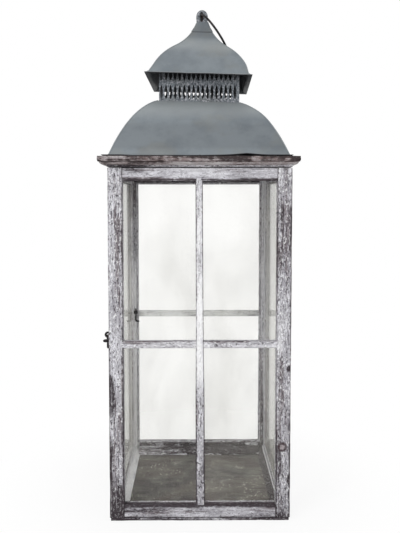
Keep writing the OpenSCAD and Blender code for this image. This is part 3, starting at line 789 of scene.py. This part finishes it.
def plainBoard(node, seed, wear=0.6, detail=4 * mm, soiledAndShaded=(), section=None):
    # a board that reaches from end to end of its solid along x
    (x0, y0, z0), (x1, y1, z1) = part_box(node)
    outline = outlineOf(section or rectangle(y0, y1, z0, z1), carving["rounding"], detail, soiledAndShaded)
    solid = turned(board(node, outline, x0, x1, seed, 5 * mm, wear), lengthways)
    makePiece(node + "_wood", [solid], wood, replaced=[node])


# painted shade: the sill's front top arris is dark where the gap under the door's bottom rail lies in shadow
plainBoard("front_sill", 81, 0.6, 2 * mm, [(low("front_sill", 1), high("front_sill", 2), 8 * mm, 2.0)])
plainBoard("front_header", 82)
plainBoard("top_board", 84, 0.2)

baseFront, baseBack, baseTop = 0.4 * mm - case["half"], high("base_board", 1), high("base_board", 2)
plainBoard("base_board", 83, detail=2.5 * mm, section=[
    (baseFront, 0), (baseBack, 0), (baseBack, baseTop), (baseFront, baseTop + 1.2 * mm)])

skirting = {
    "foot": 15 * mm,  # how far the side strips reach over the floor
    "rise": 14.5 * mm,
    "topEdge": 1.5 * mm,
    "toe": 2 * mm,
    "backFoot": 27 * mm,  # how far the back strip reaches, and its height halfway and at its edge
    "backRise": (12 * mm, 5 * mm),
}


def skirtingStrips():
    # a wedge section carried from the sill to the back frame, its mirror image, and one along the back
    floor, wall, foot, up = high("floor_plate", 2), high("skirting_strips", 0), skirting["foot"], skirting["rise"]
    section = [(0, 0), (0, up), (-skirting["topEdge"], up), (-foot, skirting["toe"]), (-foot, 0)]
    front, back, deep = low("skirting_strips", 1), high("skirting_strips", 1), skirting["backFoot"]
    solids = []
    for n, (side, name) in enumerate(((1, "skirting_right"), (-1, "skirting_left"))):
        shape = outlineOf([(floor + z, side * (wall + x)) for x, z in section], 0.8 * mm, 2.5 * mm)
        # painted highlight: the narrow top of each side strip is made white
        onTop = shape["points"][:, 0] > floor + up - 2 * mm
        shape["tint"] += np.where(onTop, 1 - tints[name][0][1], 0)  # the narrow top is white
        solids.append(turned(board(name, shape, front, back, 90 + n, 5 * mm, 0.5), frontToBack))
    halfway, edge = skirting["backRise"]
    shape = outlineOf([(back, floor), (back, floor + up), (back - 0.55 * deep, floor + halfway),
                       (back - deep, floor + edge), (back - deep, floor)], 0.8 * mm, 2.5 * mm)
    strip = board("skirting_strips", shape, 12 * mm - wall, wall - 12 * mm, 95, 5 * mm, 0.8, 2.0)
    x, y, z = np.moveaxis(turned(strip, lengthways)["points"], -1, 0)
    # painted highlight: bright dashes along the back strip's front edge
    toe = rise(back - y, deep - 3 * mm, deep) * rise(layeredNoise(x * 45, 0.5, z * 60, 97), 0.46, 0.62)
    strip["tint"] = strip["tint"] + 2.2 * toe
    return solids + [stained(strip, "skirting_strips")]


makePiece("skirting_wood", skirtingStrips(), wood, replaced=["skirting_strips"])


# Runs round the square: a section in radius and height is carried along one side and mitred

sides = {"back": 0, "left": 90, "front": 180, "right": 270}


def onSide(solid, side):
    # a run is drawn along the back, then turned to its own side
    solid["points"] = solid["points"] @ planTurn(sides[side])
    return solid


def shifted(solid, shift):
    solid["points"][..., 0] += shift
    return solid


def mitredRun(section, columns, push=None, gap=0.0):
    # The point (r, z) of the section goes to (s r, r, z) for s from -1 to 1, so both ends are mitred;
    # push is a displacement along the section's outward normal for each station and section point
    r, z = section["points"].T
    s = np.linspace(-1, 1, columns)[:, None]
    away = push(s, r[None], z[None]) if push else 0 * s * r
    rr = r[None] + section["normals"][None, :, 0] * away
    zz = z[None] + section["normals"][None, :, 1] * away
    x = s * (rr - gap)
    return solidOf(np.stack([x, rr, zz], -1), section["edge"][None], section["tint"][None])


cornice = {
    "half": high("cornice_front", 0),
    "fillet": 11 * mm,
    "step": 2.6 * mm,
    "foot": 1.5 * mm,  # the moulding starts this far outside the wall
    "raised": 2.8 * mm,  # and this far over the frames
    "wear": 1.1 * mm,
    "shift": -2 * mm,  # it sits a little to the left
    # tint of the front: in general, and how it changes at its left and right end
    "roundTint": (0.5, -1.0, -0.2),
    "filletTint": (-0.22, 0.7, -0.12),
    "chips": 2.4,
    "mottle": 2.7,
}


def corniceSection():
    # a flat fillet over a small step and a quarter round that falls back to the wall
    wall, out, base, top = case["half"], cornice["half"], case["frameTop"] + cornice["raised"], roofZ
    inside, foot, step, ledge = wall - 6 * mm, wall + cornice["foot"], out - cornice["step"], top - cornice["fillet"]
    roundWide, roundHigh = out - wall - cornice["step"] - cornice["foot"], top - base - cornice["fillet"] - 1 * mm
    rounds = [(foot + roundWide * math.sin(t), base + roundHigh * (1 - math.cos(t)))
              for t in np.linspace(0, math.pi / 2, 7)]
    # painted shade: darker at the fillet's top arris under the roof's flange, under the step, and at the foot where a
    # gap is left over the frames
    outline = outlineOf([(inside, base), *rounds, (step, ledge), (out, ledge), (out, top), (inside, top)],
                        0.8 * mm, 1.6 * mm, [(out, top, 2.4 * mm, 1.2), (step, ledge - 0.5 * mm, 2.4 * mm, 0.6),
                                             (foot, base, 3 * mm, 0.6)])
    onFillet = outline["points"][:, 1] > ledge + 0.6 * mm
    outline["tint"] = np.minimum(outline["tint"], np.where(onFillet, -0.5, 0.05))
    return outline


section = corniceSection()


def corniceWear(s, r, z, seed):
    # a ripple, rubbed arrises, and corners that are more rounded lower down
    along, edge = s * r, section["edge"][None]
    ripple = 0.25 * mm + 0.4 * mm * layeredNoise(along * 22, r * 60, z * 60, seed)
    rub = rise(layeredNoise(along * 40, r * 70, z * 70, seed + 3), 0.35, 0.75) * cornice["wear"]
    below = (roofZ - z) / (roofZ - case["frameTop"])
    corner = rise(np.abs(s), 0.95, 1.0) * (0.8 + 4.4 * below) * mm
    return -(ripple + edge ** 3 * rub + edge * corner)


for n, side in enumerate(sides):
    seed = 101 + n
    run = mitredRun(section, 110, lambda s, r, z: corniceWear(s, r, z, seed), 0.15 * mm)
    x, y, z = np.moveaxis(run["points"], -1, 0)
    patches = layeredNoise(x * 26, y * 60, z * 170, seed + 7, 4)
    chips = layeredNoise(x * 95, y * 20, z * 25, seed + 9) - 0.5
    left, right = (rise(x, 0.02, 0.12), rise(-x, 0.05, 0.13)) if side == "front" else (0, 0)
    a, b, c = cornice["roundTint"]
    onRound = a + b * left + c * right
    a, b, c = cornice["filletTint"]
    onFillet = cornice["chips"] * chips + a + b * left + c * right
    run["tint"] = run["tint"] + cornice["mottle"] * (patches - 0.54) + np.where(
        z < roofZ - cornice["fillet"], onRound, onFillet)
    run["grain"] = run["grain"] + np.array([0.53, 0.21, 0.37]) * n
    run = shifted(onSide(run, side), cornice["shift"])
    makePiece("cornice_" + side + "_moulding", [run], darkWood, replaced=["cornice_" + side])
print("cornice made")


# Zinc roof: each gore is a sheet whose section is a sweep, folded at its lower edge

def sweepCurve(a, d, leave, leaveBy, arrive, arriveBy, count):
    # a cubic Bezier curve that leaves a at one angle and reaches d at another, each with its own pull
    a, d, t = np.array(a, float), np.array(d, float), np.linspace(0, 1, count)[:, None]
    b = a + leaveBy * np.array([math.cos(math.radians(leave)), math.sin(math.radians(leave))])
    c = d - arriveBy * np.array([math.cos(math.radians(arrive)), math.sin(math.radians(arrive))])
    return (1 - t) ** 3 * a + 3 * (1 - t) ** 2 * t * b + 3 * (1 - t) * t * t * c + t ** 3 * d


def sheetSection(line, thick):
    # the outer line and its inner parallel, closed into one loop; each pair of points shares one normal
    along = unit(np.gradient(line, axis=0))
    outward = np.stack([along[:, 1], -along[:, 0]], 1)
    inner = line - outward * thick
    points = np.concatenate([line, inner[::-1]])
    normals = np.concatenate([outward, outward[::-1]])
    share = np.concatenate([np.linspace(0, 1, len(line)), np.linspace(1, 0, len(line))])
    # painted highlight on the outer line near its edge, painted shade on the inner line along the sheet's underside,
    # and the edge itself darkest as a painted shadow gap
    tint = np.concatenate([np.where(share[:len(line)] < 0.05, 0.7, 0), np.full(len(line), -0.75)])
    tint[0] = -1
    return {"points": points, "normals": normals, "share": share, "edge": np.zeros(len(points)), "tint": tint}


roof = {
    "sheet": 1.2 * mm,
    "flange": -low("roof_front_panel", 1),  # half width at the flange's edge
    "foot": case["half"] - 4.6 * mm,
    "topZ": low("gallery_front", 2) + 10 * mm,
    "galleryHalf": high("gallery_right", 0),
    "lift": 2.4 * mm,  # the flange stands off the cornice
    "sweep": (112, 76 * mm, 160, 30 * mm),  # degrees and pull of the curve at its foot, and at its top
    "shift": (-1.5 * mm, -2.6 * mm),  # at its foot and its top
    "rightFlange": 0.35,  # how much of the flange is left on the right
    "crown": 0.7,  # painted light: how pale the sheet is near its top, painted shade: how much darker below, and the height where it changes
    "lowShade": 0.28,
    "crownZ": (0.785, 0.83),
    # painted highlight along the hem at the foot
    "paleFoot": (0.731, 0.745, 0.4),  # a paler band at the foot, up to this height, and how pale
    "droop": (0.6 * mm, 4.4 * mm),  # how far the top hangs at its left and right end
    "flat": (0.12, 0.3, 0.85, 1.0),  # shares of the section where the dents start, are full, fall and end
    "waves": (2.6, 5, 3.2, 0.55, 1.3 * mm),  # across, their start, up, their middle, and depth
    "loose": (9, 0.5, 0.7, 0.15),  # the loose edge: waves, their middle, width in mm, and share of the section
    "kickX": 91 * mm,  # a place where the front flange has been bent up
    "kick": 3.0 * mm,
    "kickWide": 42 * mm,
    "lying": 1.1 * mm,  # elsewhere along the front the flange lies closer to the cornice
}


def cropped(solid):
    # the flange is narrower on the right
    x, start = solid["points"][..., 0], roof["foot"] + 2 * mm
    solid["points"][..., 0] = np.where(x > start, start + (x - roof["foot"] - 2 * mm) * roof["rightFlange"], x)
    return solid


def settled(solid):
    # the top of the roof hangs lower towards the right, and leans to the left
    x, z = solid["points"][..., 0], solid["points"][..., 2]
    amount = np.interp(x, (-roof["galleryHalf"], roof["galleryHalf"]), roof["droop"])
    z = z - amount * rise(z, roof["topZ"] - 45 * mm, roof["topZ"])
    solid["points"][..., 2] = z
    return shifted(solid, np.interp(z, (roofZ, roof["topZ"]), roof["shift"]))


def domeLine():
    # a flat flange, a low shelf, and the sweep up to the gallery
    edge = np.array([[roof["flange"], roofZ + roof["lift"]]])
    shelf = np.array([[roof["foot"] + 3.2 * mm, roofZ + roof["lift"] + 0.3 * mm],
                      [roof["foot"] + 1.0 * mm, roofZ + roof["lift"] + 0.9 * mm]])
    curve = sweepCurve([roof["foot"], roofZ + roof["sheet"] + roof["lift"] + 0.8 * mm],
                       [roof["galleryHalf"] + 0.3 * mm, roof["topZ"] - 0.5 * mm], *roof["sweep"], 44)
    hem = np.linspace(0, 1, 6)[:, None] * (shelf[0] - edge[0]) + edge[0]
    return np.concatenate([hem[:-1], shelf, curve])


domeShape = sheetSection(domeLine(), roof["sheet"])
height = domeShape["points"][:, 1]
footLow, footHigh, footPale = roof["paleFoot"]
# painted light near the dome's top, painted shade below it, and a painted highlight along the foot, on the outer line
# only
pale = rise(height, *roof["crownZ"]) * (roof["crown"] + roof["lowShade"]) - roof["lowShade"]
pale = pale + footPale * (1 - rise(height, footLow, footHigh))
domeShape["tint"] = domeShape["tint"] + np.where(domeShape["tint"] >= 0, pale, 0)


def seamTube(path, radius):
    # a slightly flattened bead carried along the path, its ring square to the path
    along = unit(np.gradient(path, axis=0))
    side = unit(np.cross(along, [0.0, 0.0, 1.0]))
    lift = np.cross(side, along)
    a = np.linspace(0, 2 * math.pi, 8, endpoint=False)[None, :, None]
    points = path[:, None] + (np.cos(a) * side[:, None] + 0.7 * np.sin(a) * lift[:, None]) * radius[:, None, None]
    return solidOf(points[:, ::-1], 1, 0)


def sheetDents(s, share, look, seed):
    # waves over the flat middle of a sheet, and a loose lower edge between its corners
    (start, full, fall, end), (across, first, up, middle, deep) = look["flat"], look["waves"]
    flat = np.clip(1 - s ** 2, 0, 1) * rise(share, start, full) * (1 - rise(share, fall, end))
    waves = layeredNoise(s * across + first, share * up, 0.5, seed, 2) - middle
    across, middle, wide, reach = look["loose"]
    loose = (valueNoise(s * across + 3, 0.5, 0.5, seed + 7) - middle) * wide * mm
    return flat * waves * 2 * deep, loose * (1 - rise(share, 0.0, reach)) * (1 - s ** 8)


def hipSeams(name, line, wobble, seed, place):
    # a bead along each corner of the square; wobble is (radius, how much it varies, lumps)
    path = np.stack([line[:, 0], line[:, 0], line[:, 1]], 1) + np.array([-0.5, -0.5, 0]) * mm
    beads = []
    for n, side in enumerate(sides):
        lumps = valueNoise(np.linspace(0, wobble[2], len(path)), 0.5, 0.5, seed + n)
        beads.append(place(onSide(seamTube(path, wobble[0] + wobble[1] * lumps), side)))
    makePiece(name, beads, zinc)


def domeDents(s, r, seed, side):
    # the front flange is bent up at one place and lies lower over the middle
    share = domeShape["share"][None]
    push, loose = sheetDents(s, share, roof, seed)
    if side == "front":
        bent = np.clip(1 - np.abs(-s * r - roof["kickX"]) / roof["kickWide"], 0, 1) ** 1.3
        lying = rise(s * r, -0.06, 0.0) * (1 - rise(s * r, 0.12, 0.16))
        push = push + (bent * roof["kick"] - lying * roof["lying"]) * (1 - rise(share, 0.0, 0.22))
    return push + loose


for n, side in enumerate(sides):
    gore = mitredRun(domeShape, 90, lambda s, r, z: domeDents(s, r, 140 + n, side))
    gore = settled(cropped(onSide(gore, side)))
    makePiece("roof_" + side + "_sheet", [gore], zinc, replaced=["roof_" + side + "_panel"])

hipSeams("roof_hip_seams", domeLine()[6:], (1.3 * mm, 0.5 * mm, 14), 160, settled)
print("dome made")


# Pierced gallery: upright ribs between lens-shaped openings, joined where the openings close

gallery = {
    "half": 83.3 * mm,
    "thick": 1.2 * mm,
    "slots": 17,
    "pitch": 9.54 * mm,
    # lowest and highest point in mm, half width and fullness of each row of openings
    "rows": ((850.5, 880, 3.1 * mm, 0.65), (888, 940, 4.1 * mm, 0.7)),
    "backRows": ((852, 880, 3.2 * mm, 0.6), (884.5, 940, 3.6 * mm, 0.55)),
    "shift": -0.9 * mm,
    "slotShift": 2.0 * mm,  # the openings stand to the left of the middle, and on the back to the right
    "tall": 77 * mm,  # top of the ribs over the roof's top
    "rim": (69 * mm, 7 * mm, 6 * mm),  # height over the roof's top, depth and height of the frame inside
}


def openingWidth(z, rows):
    # half width of an opening at each height: over each row, a sine arch to the power of its fullness
    wide = np.zeros(z.shape)
    for start, end, half, fullness in rows:
        t = np.clip((z / mm - start) / (end - start), 0, 1) ** 0.85
        wide = np.maximum(wide, half * np.sin(math.pi * t) ** fullness)
    return wide


def gallerySide(side, seed):
    # each rib lies between the edges of two openings, and bends in and out a little
    rows, shift = gallery["rows"], gallery["slotShift"]
    if side == "back":
        rows, shift = gallery["backRows"], -shift
    z = np.linspace(roof["topZ"] - 10 * mm, roof["topZ"] + gallery["tall"], 100)[:, None]
    n, half, ribs = gallery["slots"], gallery["half"], []
    centres = (np.arange(-1, n + 1) - (n - 1) / 2) * gallery["pitch"] + shift
    for k in range(n + 1):
        wobble = 0.35 * mm * (valueNoise(z * 90, k * 3.7, 0.5, seed) - 0.5)
        gap = openingWidth(z, rows)
        left = centres[k] + gap + wobble if k else np.full(z.shape, -half)
        right = centres[k + 1] - gap + wobble if k < n else np.full(z.shape, half)
        out = half - 0.5 * mm * (1 - np.cos(centres[k] * 40)) * 0.3
        x = np.concatenate([left, right, right, left], 1)
        y = np.broadcast_to(np.array([out, out, out - gallery["thick"], out - gallery["thick"]]), x.shape)
        points = np.stack([x, y, np.broadcast_to(z, x.shape)], -1)[:, ::-1]
        shade = np.clip((z / mm - 884) / 14, 0, 1) * -0.35 - 0.2
        ribs.append(solidOf(points, 0, shade))
    return ribs


for n, side in enumerate(sides):
    ribs = [shifted(onSide(rib, side), gallery["shift"]) for rib in gallerySide(side, 170 + n)]
    makePiece("gallery_" + side + "_ribs", ribs, weatheredZinc, replaced=["gallery_" + side])

rimUp, rimDeep, rimTall = gallery["rim"]
inside, under = gallery["half"] - gallery["thick"] - 0.3 * mm, roof["topZ"] + rimUp
rimSection = outlineOf(rectangle(inside - rimDeep, inside, under, under + rimTall), 0.6 * mm, 3 * mm)
# painted shade: the rim lies in the shade under the cap
rimSection["tint"] = rimSection["tint"] - 0.6
for side in sides:
    run = shifted(onSide(mitredRun(rimSection, 24), side), gallery["shift"])
    makePiece("gallery_rim_" + side, [run], zinc, replaced=["gallery_rim"] if side == "back" else [])
print("gallery made")


# Leaning cap over the gallery

capShape = {
    "lean": 1.8,  # degrees to the right, about the middle of the eaves
    "half": 110.4 * mm,
    "flare": (7.5 * mm, 3 * mm),  # the eave turns out by this much
    "eaveZ": roof["topZ"] + 49.4 * mm,
    "waist": (55 * mm, 68.3 * mm),  # half width, and height over the eaves, where the curve turns
    "neck": (21.6 * mm, 107.3 * mm),
    "lower": (111, 34 * mm, 142, 27 * mm),  # sweeps, as on the roof
    "upper": (142, 20 * mm, 119, 16 * mm),
    "flat": (0.05, 0.2, 0.9, 1.0),  # dents, as on the roof
    "waves": (2.2, 3, 3.0, 0.5, 0.9 * mm),
    "loose": (5, 0.6, 1.1, 0.12),
    "twist": -1.56,  # degrees in plan
    "tip": 0.5,  # degrees backwards
    "bodyShift": (3.2 * mm, 25 * mm),  # the body leans over by this much within this height
    # painted light where the cap faces up above its waist, and painted shade towards the neck
    "waistPale": (0.045, 0.068, 0.078, 0.098, 0.5),  # heights over the eaves where it comes and goes, and how pale
    "neckShade": (0.085, 0.1, 0.22),
}


def capLine():
    # an eave that turns out, and a sweep in to the waist and on to the neck
    half, eave = capShape["half"], capShape["eaveZ"]
    waist = [capShape["waist"][0], eave + capShape["waist"][1]]
    out, up = capShape["flare"]
    lower = sweepCurve([half - out, eave + up], waist, *capShape["lower"], 26)
    upper = sweepCurve(waist, [capShape["neck"][0], eave + capShape["neck"][1]], *capShape["upper"], 20)
    flare = np.array([half, eave]) + np.linspace(0, 1, 4)[:-1, None] * np.array([-out, up])
    return np.concatenate([flare, lower, upper[1:]])


def leaned(solid):
    # turned in plan, tipped back and leaned about the middle of the eaves
    a, c = math.radians(capShape["lean"]), math.radians(capShape["tip"])
    middle = np.array([0, 0, capShape["eaveZ"]])
    lean = np.array([[math.cos(a), 0, -math.sin(a)], [0, 1, 0], [math.sin(a), 0, math.cos(a)]])
    tip = np.array([[1, 0, 0], [0, math.cos(c), -math.sin(c)], [0, math.sin(c), math.cos(c)]])
    solid["points"] = (solid["points"] - middle) @ planTurn(capShape["twist"]) @ tip @ lean + middle
    shift, reach = capShape["bodyShift"]
    return shifted(solid, shift * rise(solid["points"][..., 2], capShape["eaveZ"], capShape["eaveZ"] + reach))


capSection = sheetSection(capLine(), roof["sheet"])
height = capSection["points"][:, 1] - capShape["eaveZ"]
start, full, fall, end, amount = capShape["waistPale"]
shadeStart, shadeEnd, lowShade = capShape["neckShade"]
# painted light above the waist and painted shade towards the neck, on the outer line only
pale = rise(height, start, full) * (1 - rise(height, fall, end)) * amount - lowShade * rise(height, shadeStart, shadeEnd)
capSection["tint"] = capSection["tint"] + np.where(capSection["tint"] >= 0, pale, 0)
for n, side in enumerate(sides):
    gore = mitredRun(capSection, 64, lambda s, r, z: sum(sheetDents(s, capSection["share"][None], capShape, 180 + n)))
    gore = leaned(onSide(gore, side))
    makePiece("cap_" + side + "_sheet", [gore], zinc, replaced=["cap_" + side + "_panel"])
hipSeams("cap_hip_seams", capLine()[2:], (1.2 * mm, 0.4 * mm, 9), 190, leaned)

sleeve = {
    "foot": (23.0 * mm, 107.4 * mm),  # half width, and height over the eaves
    "bend": (17.4 * mm, 117.8 * mm),
    "top": (12.4 * mm, 130.4 * mm),
    "seam": 2.6 * mm,  # dark joint along its foot
    "sheet": 1.0 * mm,
}


def sleeveSection():
    # a tapering sheet that laps the cap, closed at its top by a flat plate
    line = np.array([(r, capShape["eaveZ"] + z) for r, z in (sleeve["foot"], sleeve["bend"], sleeve["top"])])
    line = np.concatenate([line[:1] - np.array([[0, sleeve["seam"]]]), line, [[0.5 * mm, line[-1, 1] + 1.2 * mm]]])
    t = np.linspace(0, len(line) - 1, 25)
    line = np.stack([np.interp(t, np.arange(len(line)), line[:, k]) for k in (0, 1)], 1)
    shape = sheetSection(line, sleeve["sheet"])
    shape["tint"] = np.where(shape["tint"] < -0.7, shape["tint"], -0.3)
    shape["tint"][:5] = -0.62
    return shape


sleeveShape = sleeveSection()
for side in sides:
    gore = leaned(onSide(mitredRun(sleeveShape, 12), side))
    makePiece("spire_sleeve_" + side, [gore], zinc, replaced=["spire_sleeve"] if side == "back" else [])
print("cap made")


# Iron pieces: welded copies of the solids, with softened arrises

def forgedCopy(node, bevel=0.0, swell=None):
    # swell is how far the points go outwards at the front and at the back
    piece = linked(node + "_forged", nodes[node].data.copy())
    piece.data.name = node + "_forged"
    piece.data.materials.clear()
    piece.data.materials.append(iron)
    piece.modifiers.new("weld", "WELD").merge_threshold = 0.02 * mm
    if bevel:
        soft = piece.modifiers.new("bevel", "BEVEL")
        soft.width, soft.segments, soft.limit_method, soft.angle_limit = bevel, 2, "ANGLE", math.radians(50)
    done = bpy.data.meshes.new_from_object(piece.evaluated_get(bpy.context.evaluated_depsgraph_get()))
    piece.modifiers.clear()
    piece.data = done
    done.shade_smooth()
    done.set_sharp_from_angle(angle=math.radians(40))
    if swell:
        points, normals = np.empty((2, len(done.vertices), 3), np.float32)
        done.vertices.foreach_get("co", points.ravel())
        done.vertex_normals.foreach_get("vector", normals.ravel())
        done.vertices.foreach_set("co", (points + normals * np.where(points[:, 1:2] < 0, *swell)).ravel())
    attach(piece, nodes[node]["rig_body"])
    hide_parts(node)


swells = {"latch_hook": (1.0 * mm, 0), "catch_eye": (0.9 * mm, 0), "screw_eyes": (0.8 * mm, 0),
          "inner_hook": (0, 0.6 * mm), "ring_handle": (0.45 * mm, 0.45 * mm)}
for node, swell in swells.items():
    forgedCopy(node, swell=swell)
for node in ("hinge_frame_leaves", "hinge_door_leaves", "hinge_pins"):
    forgedCopy(node, 0.25 * mm)

eye = {
    "middle": 1041 * mm,
    "x": 6.0 * mm,
    "slotX": 5.2 * mm,
    "slot": (3.05 * mm, 10 * mm),  # half width and half height of the hole
    "outer": 12.6 * mm,
    "top": high("hanging_eye", 2) - 0.2 * mm,
    "foot": 1018 * mm,
    "thick": 6 * mm,
    "wire": 2.3 * mm,  # room left for the ring's wire, and its middle height and near side
    "wireZ": high("hanging_eye", 2) - 12 * mm,
    "wireX": high("ring_handle", 0) - 56.9 * mm,
}


def hangingEye():
    # A closed loop round the hole: at each angle the hole's edge is (w sin^0.6, h cos), the outer edge is a
    # half circle above the middle and (R sin^0.35, drop cos) below it, and six points join them
    a = np.linspace(0, 2 * math.pi, 73)[:, None]
    sine, cosine = np.sin(a), np.cos(a)
    side = np.sign(sine)
    holeX = eye["slotX"] + eye["slot"][0] * side * np.abs(sine) ** 0.6
    holeZ = eye["middle"] + eye["slot"][1] * cosine
    above = cosine >= 0
    outX = eye["x"] + eye["outer"] * side * np.abs(sine) ** np.where(above, 1.0, 0.35)
    outZ = eye["middle"] + np.where(above, eye["top"] - eye["middle"], eye["middle"] - eye["foot"]) * cosine
    across = np.array([0.0, 0.12, 0.88, 1.0, 1.0, 0.88, 0.12, 0.0])
    deep = np.array([-0.36, -0.5, -0.5, -0.36, 0.36, 0.5, 0.5, 0.36]) * eye["thick"]
    x = holeX + (outX - holeX) * across
    z = holeZ + (outZ - holeZ) * across
    points = np.stack([x, np.broadcast_to(deep, x.shape), z], -1)
    # painted shade: darker round the hole's bore
    return solidOf(points, 0, np.where(across < 0.05, -0.8, -0.3), capped=False)


def eyeShadeBlocks():
    # three dark blocks that close the hole round the ring's wire, standing in for the shade inside it and the dark
    # plate seen through it
    blocks = []
    left, right = eye["slotX"] - eye["slot"][0], eye["slotX"] + eye["slot"][0]
    under, over = eye["wireZ"] - eye["wire"], eye["wireZ"] + eye["wire"]
    for near, start, end in ((left, eye["middle"] - eye["slot"][1], under),
                             (left, over, eye["middle"] + eye["slot"][1]),
                             (eye["wireX"], under, over)):
        shape = outlineOf(rectangle(near, right, -1 * mm, 1 * mm), 0.3 * mm, 2 * mm)
        z = np.linspace(start, end, 4)[:, None, None]
        flat = np.broadcast_to(shape["points"][None], (4, *shape["points"].shape))
        points = np.concatenate([flat, np.broadcast_to(z, (*flat.shape[:2], 1))], -1)
        blocks.append(solidOf(points, 0, -1))
    return blocks


makePiece("hanging_eye_loop", [hangingEye()], weatheredZinc, replaced=["hanging_eye"])
makePiece("hanging_eye_shade_blocks", eyeShadeBlocks(), iron)


# Finishes of the solids that stay

stays = {"floor_plate": trayZinc, "roof_nails": iron, "door_glass": pane, "back_glass": pane,
         "left_glass": sidePane, "right_glass": sidePane}
for node, material in stays.items():
    nodes[node].data.materials.clear()
    nodes[node].data.materials.append(material)
print("metalwork and glass finished")


# Floor, light and camera

studio = {
    "floorTone": tone(236, 236, 236),
    "horizonLight": 0.42,
    "zenithLight": 1.0,
    "keyLamp": ((-1.6, -2.4, 2.6), (0, 0, 0.6), 1.6, 45),  # place, aim, size and power
    "fillLamp": ((2.2, -2.2, 1.2), (0, 0, 0.5), 2.0, 10),
}


def studioFloor():
    mesh = bpy.data.meshes.new("studioFloor")
    mesh.from_pydata([(-30, -30, 0), (30, -30, 0), (30, 30, 0), (-30, 30, 0)], [], [(0, 1, 2, 3)])
    b = newMaterial("studioFloor")
    pale = b.add("ShaderNodeBsdfDiffuse", {}, {"Color": (*studio["floorTone"], 1)})
    white = b.add("ShaderNodeEmission", {}, {"Color": (1, 1, 1, 1), "Strength": 1.0})
    x, y, _ = b.parts(b.place())
    far = b.rise((x ** 2 + y ** 2) ** 0.5, 0.2, 0.5, 0.86, 1.0)
    seen = b.rays("Camera", "Transmission", "Glossy")
    mesh.materials.append(b.output(b.add("ShaderNodeMixShader", {}, {0: seen * far, 1: pale, 2: white})))
    linked("studioFloor", mesh)


def studioWorld():
    bpy.context.scene.world = bpy.data.worlds.new("studio")
    b = Bench(bpy.context.scene.world)
    up = b.parts(b.add("ShaderNodeTexCoord"))[2]
    sky = b.rise(up, 0, 1, studio["horizonLight"], studio["zenithLight"])
    strength = sky + (1 - sky) * b.rays("Camera", "Transmission")
    b.output(b.add("ShaderNodeBackground", {}, {"Color": (1, 1, 1, 1), "Strength": strength}), "World")


def softLamp(name, place, aim, size, power):
    # a round area lamp that looks at its aim
    light = bpy.data.lights.new(name, "AREA")
    light.shape, light.size, light.energy = "DISK", size, power
    lamp = linked(name, light)
    lamp.location = place
    x, y, z = np.array(place, float) - aim
    lamp.rotation_euler = (math.atan2(math.hypot(x, y), z), 0, math.atan2(x, -y))


lens = {
    "side": -0.0105,
    "turn": -0.49,  # degrees, towards the middle of the door
    "away": 1.4076,
    "height": 0.639,
    "tilt": 3.303,  # degrees down
    "focal": 42.6,
    "shift": -0.0546,
}


def viewCamera():
    data = bpy.data.cameras.new("viewCamera")
    data.sensor_width, data.lens, data.shift_y = 36, lens["focal"], lens["shift"]
    camera = linked("viewCamera", data)
    camera.location = (lens["side"], -lens["away"], lens["height"])
    camera.rotation_euler = (math.radians(90 - lens["tilt"]), 0, math.radians(lens["turn"]))
    bpy.context.scene.camera = camera


studioFloor()
studioWorld()
for name in ("keyLamp", "fillLamp"):
    softLamp(name, *studio[name])
viewCamera()
bpy.context.scene.view_settings.view_transform = "Standard"
print("studio made")
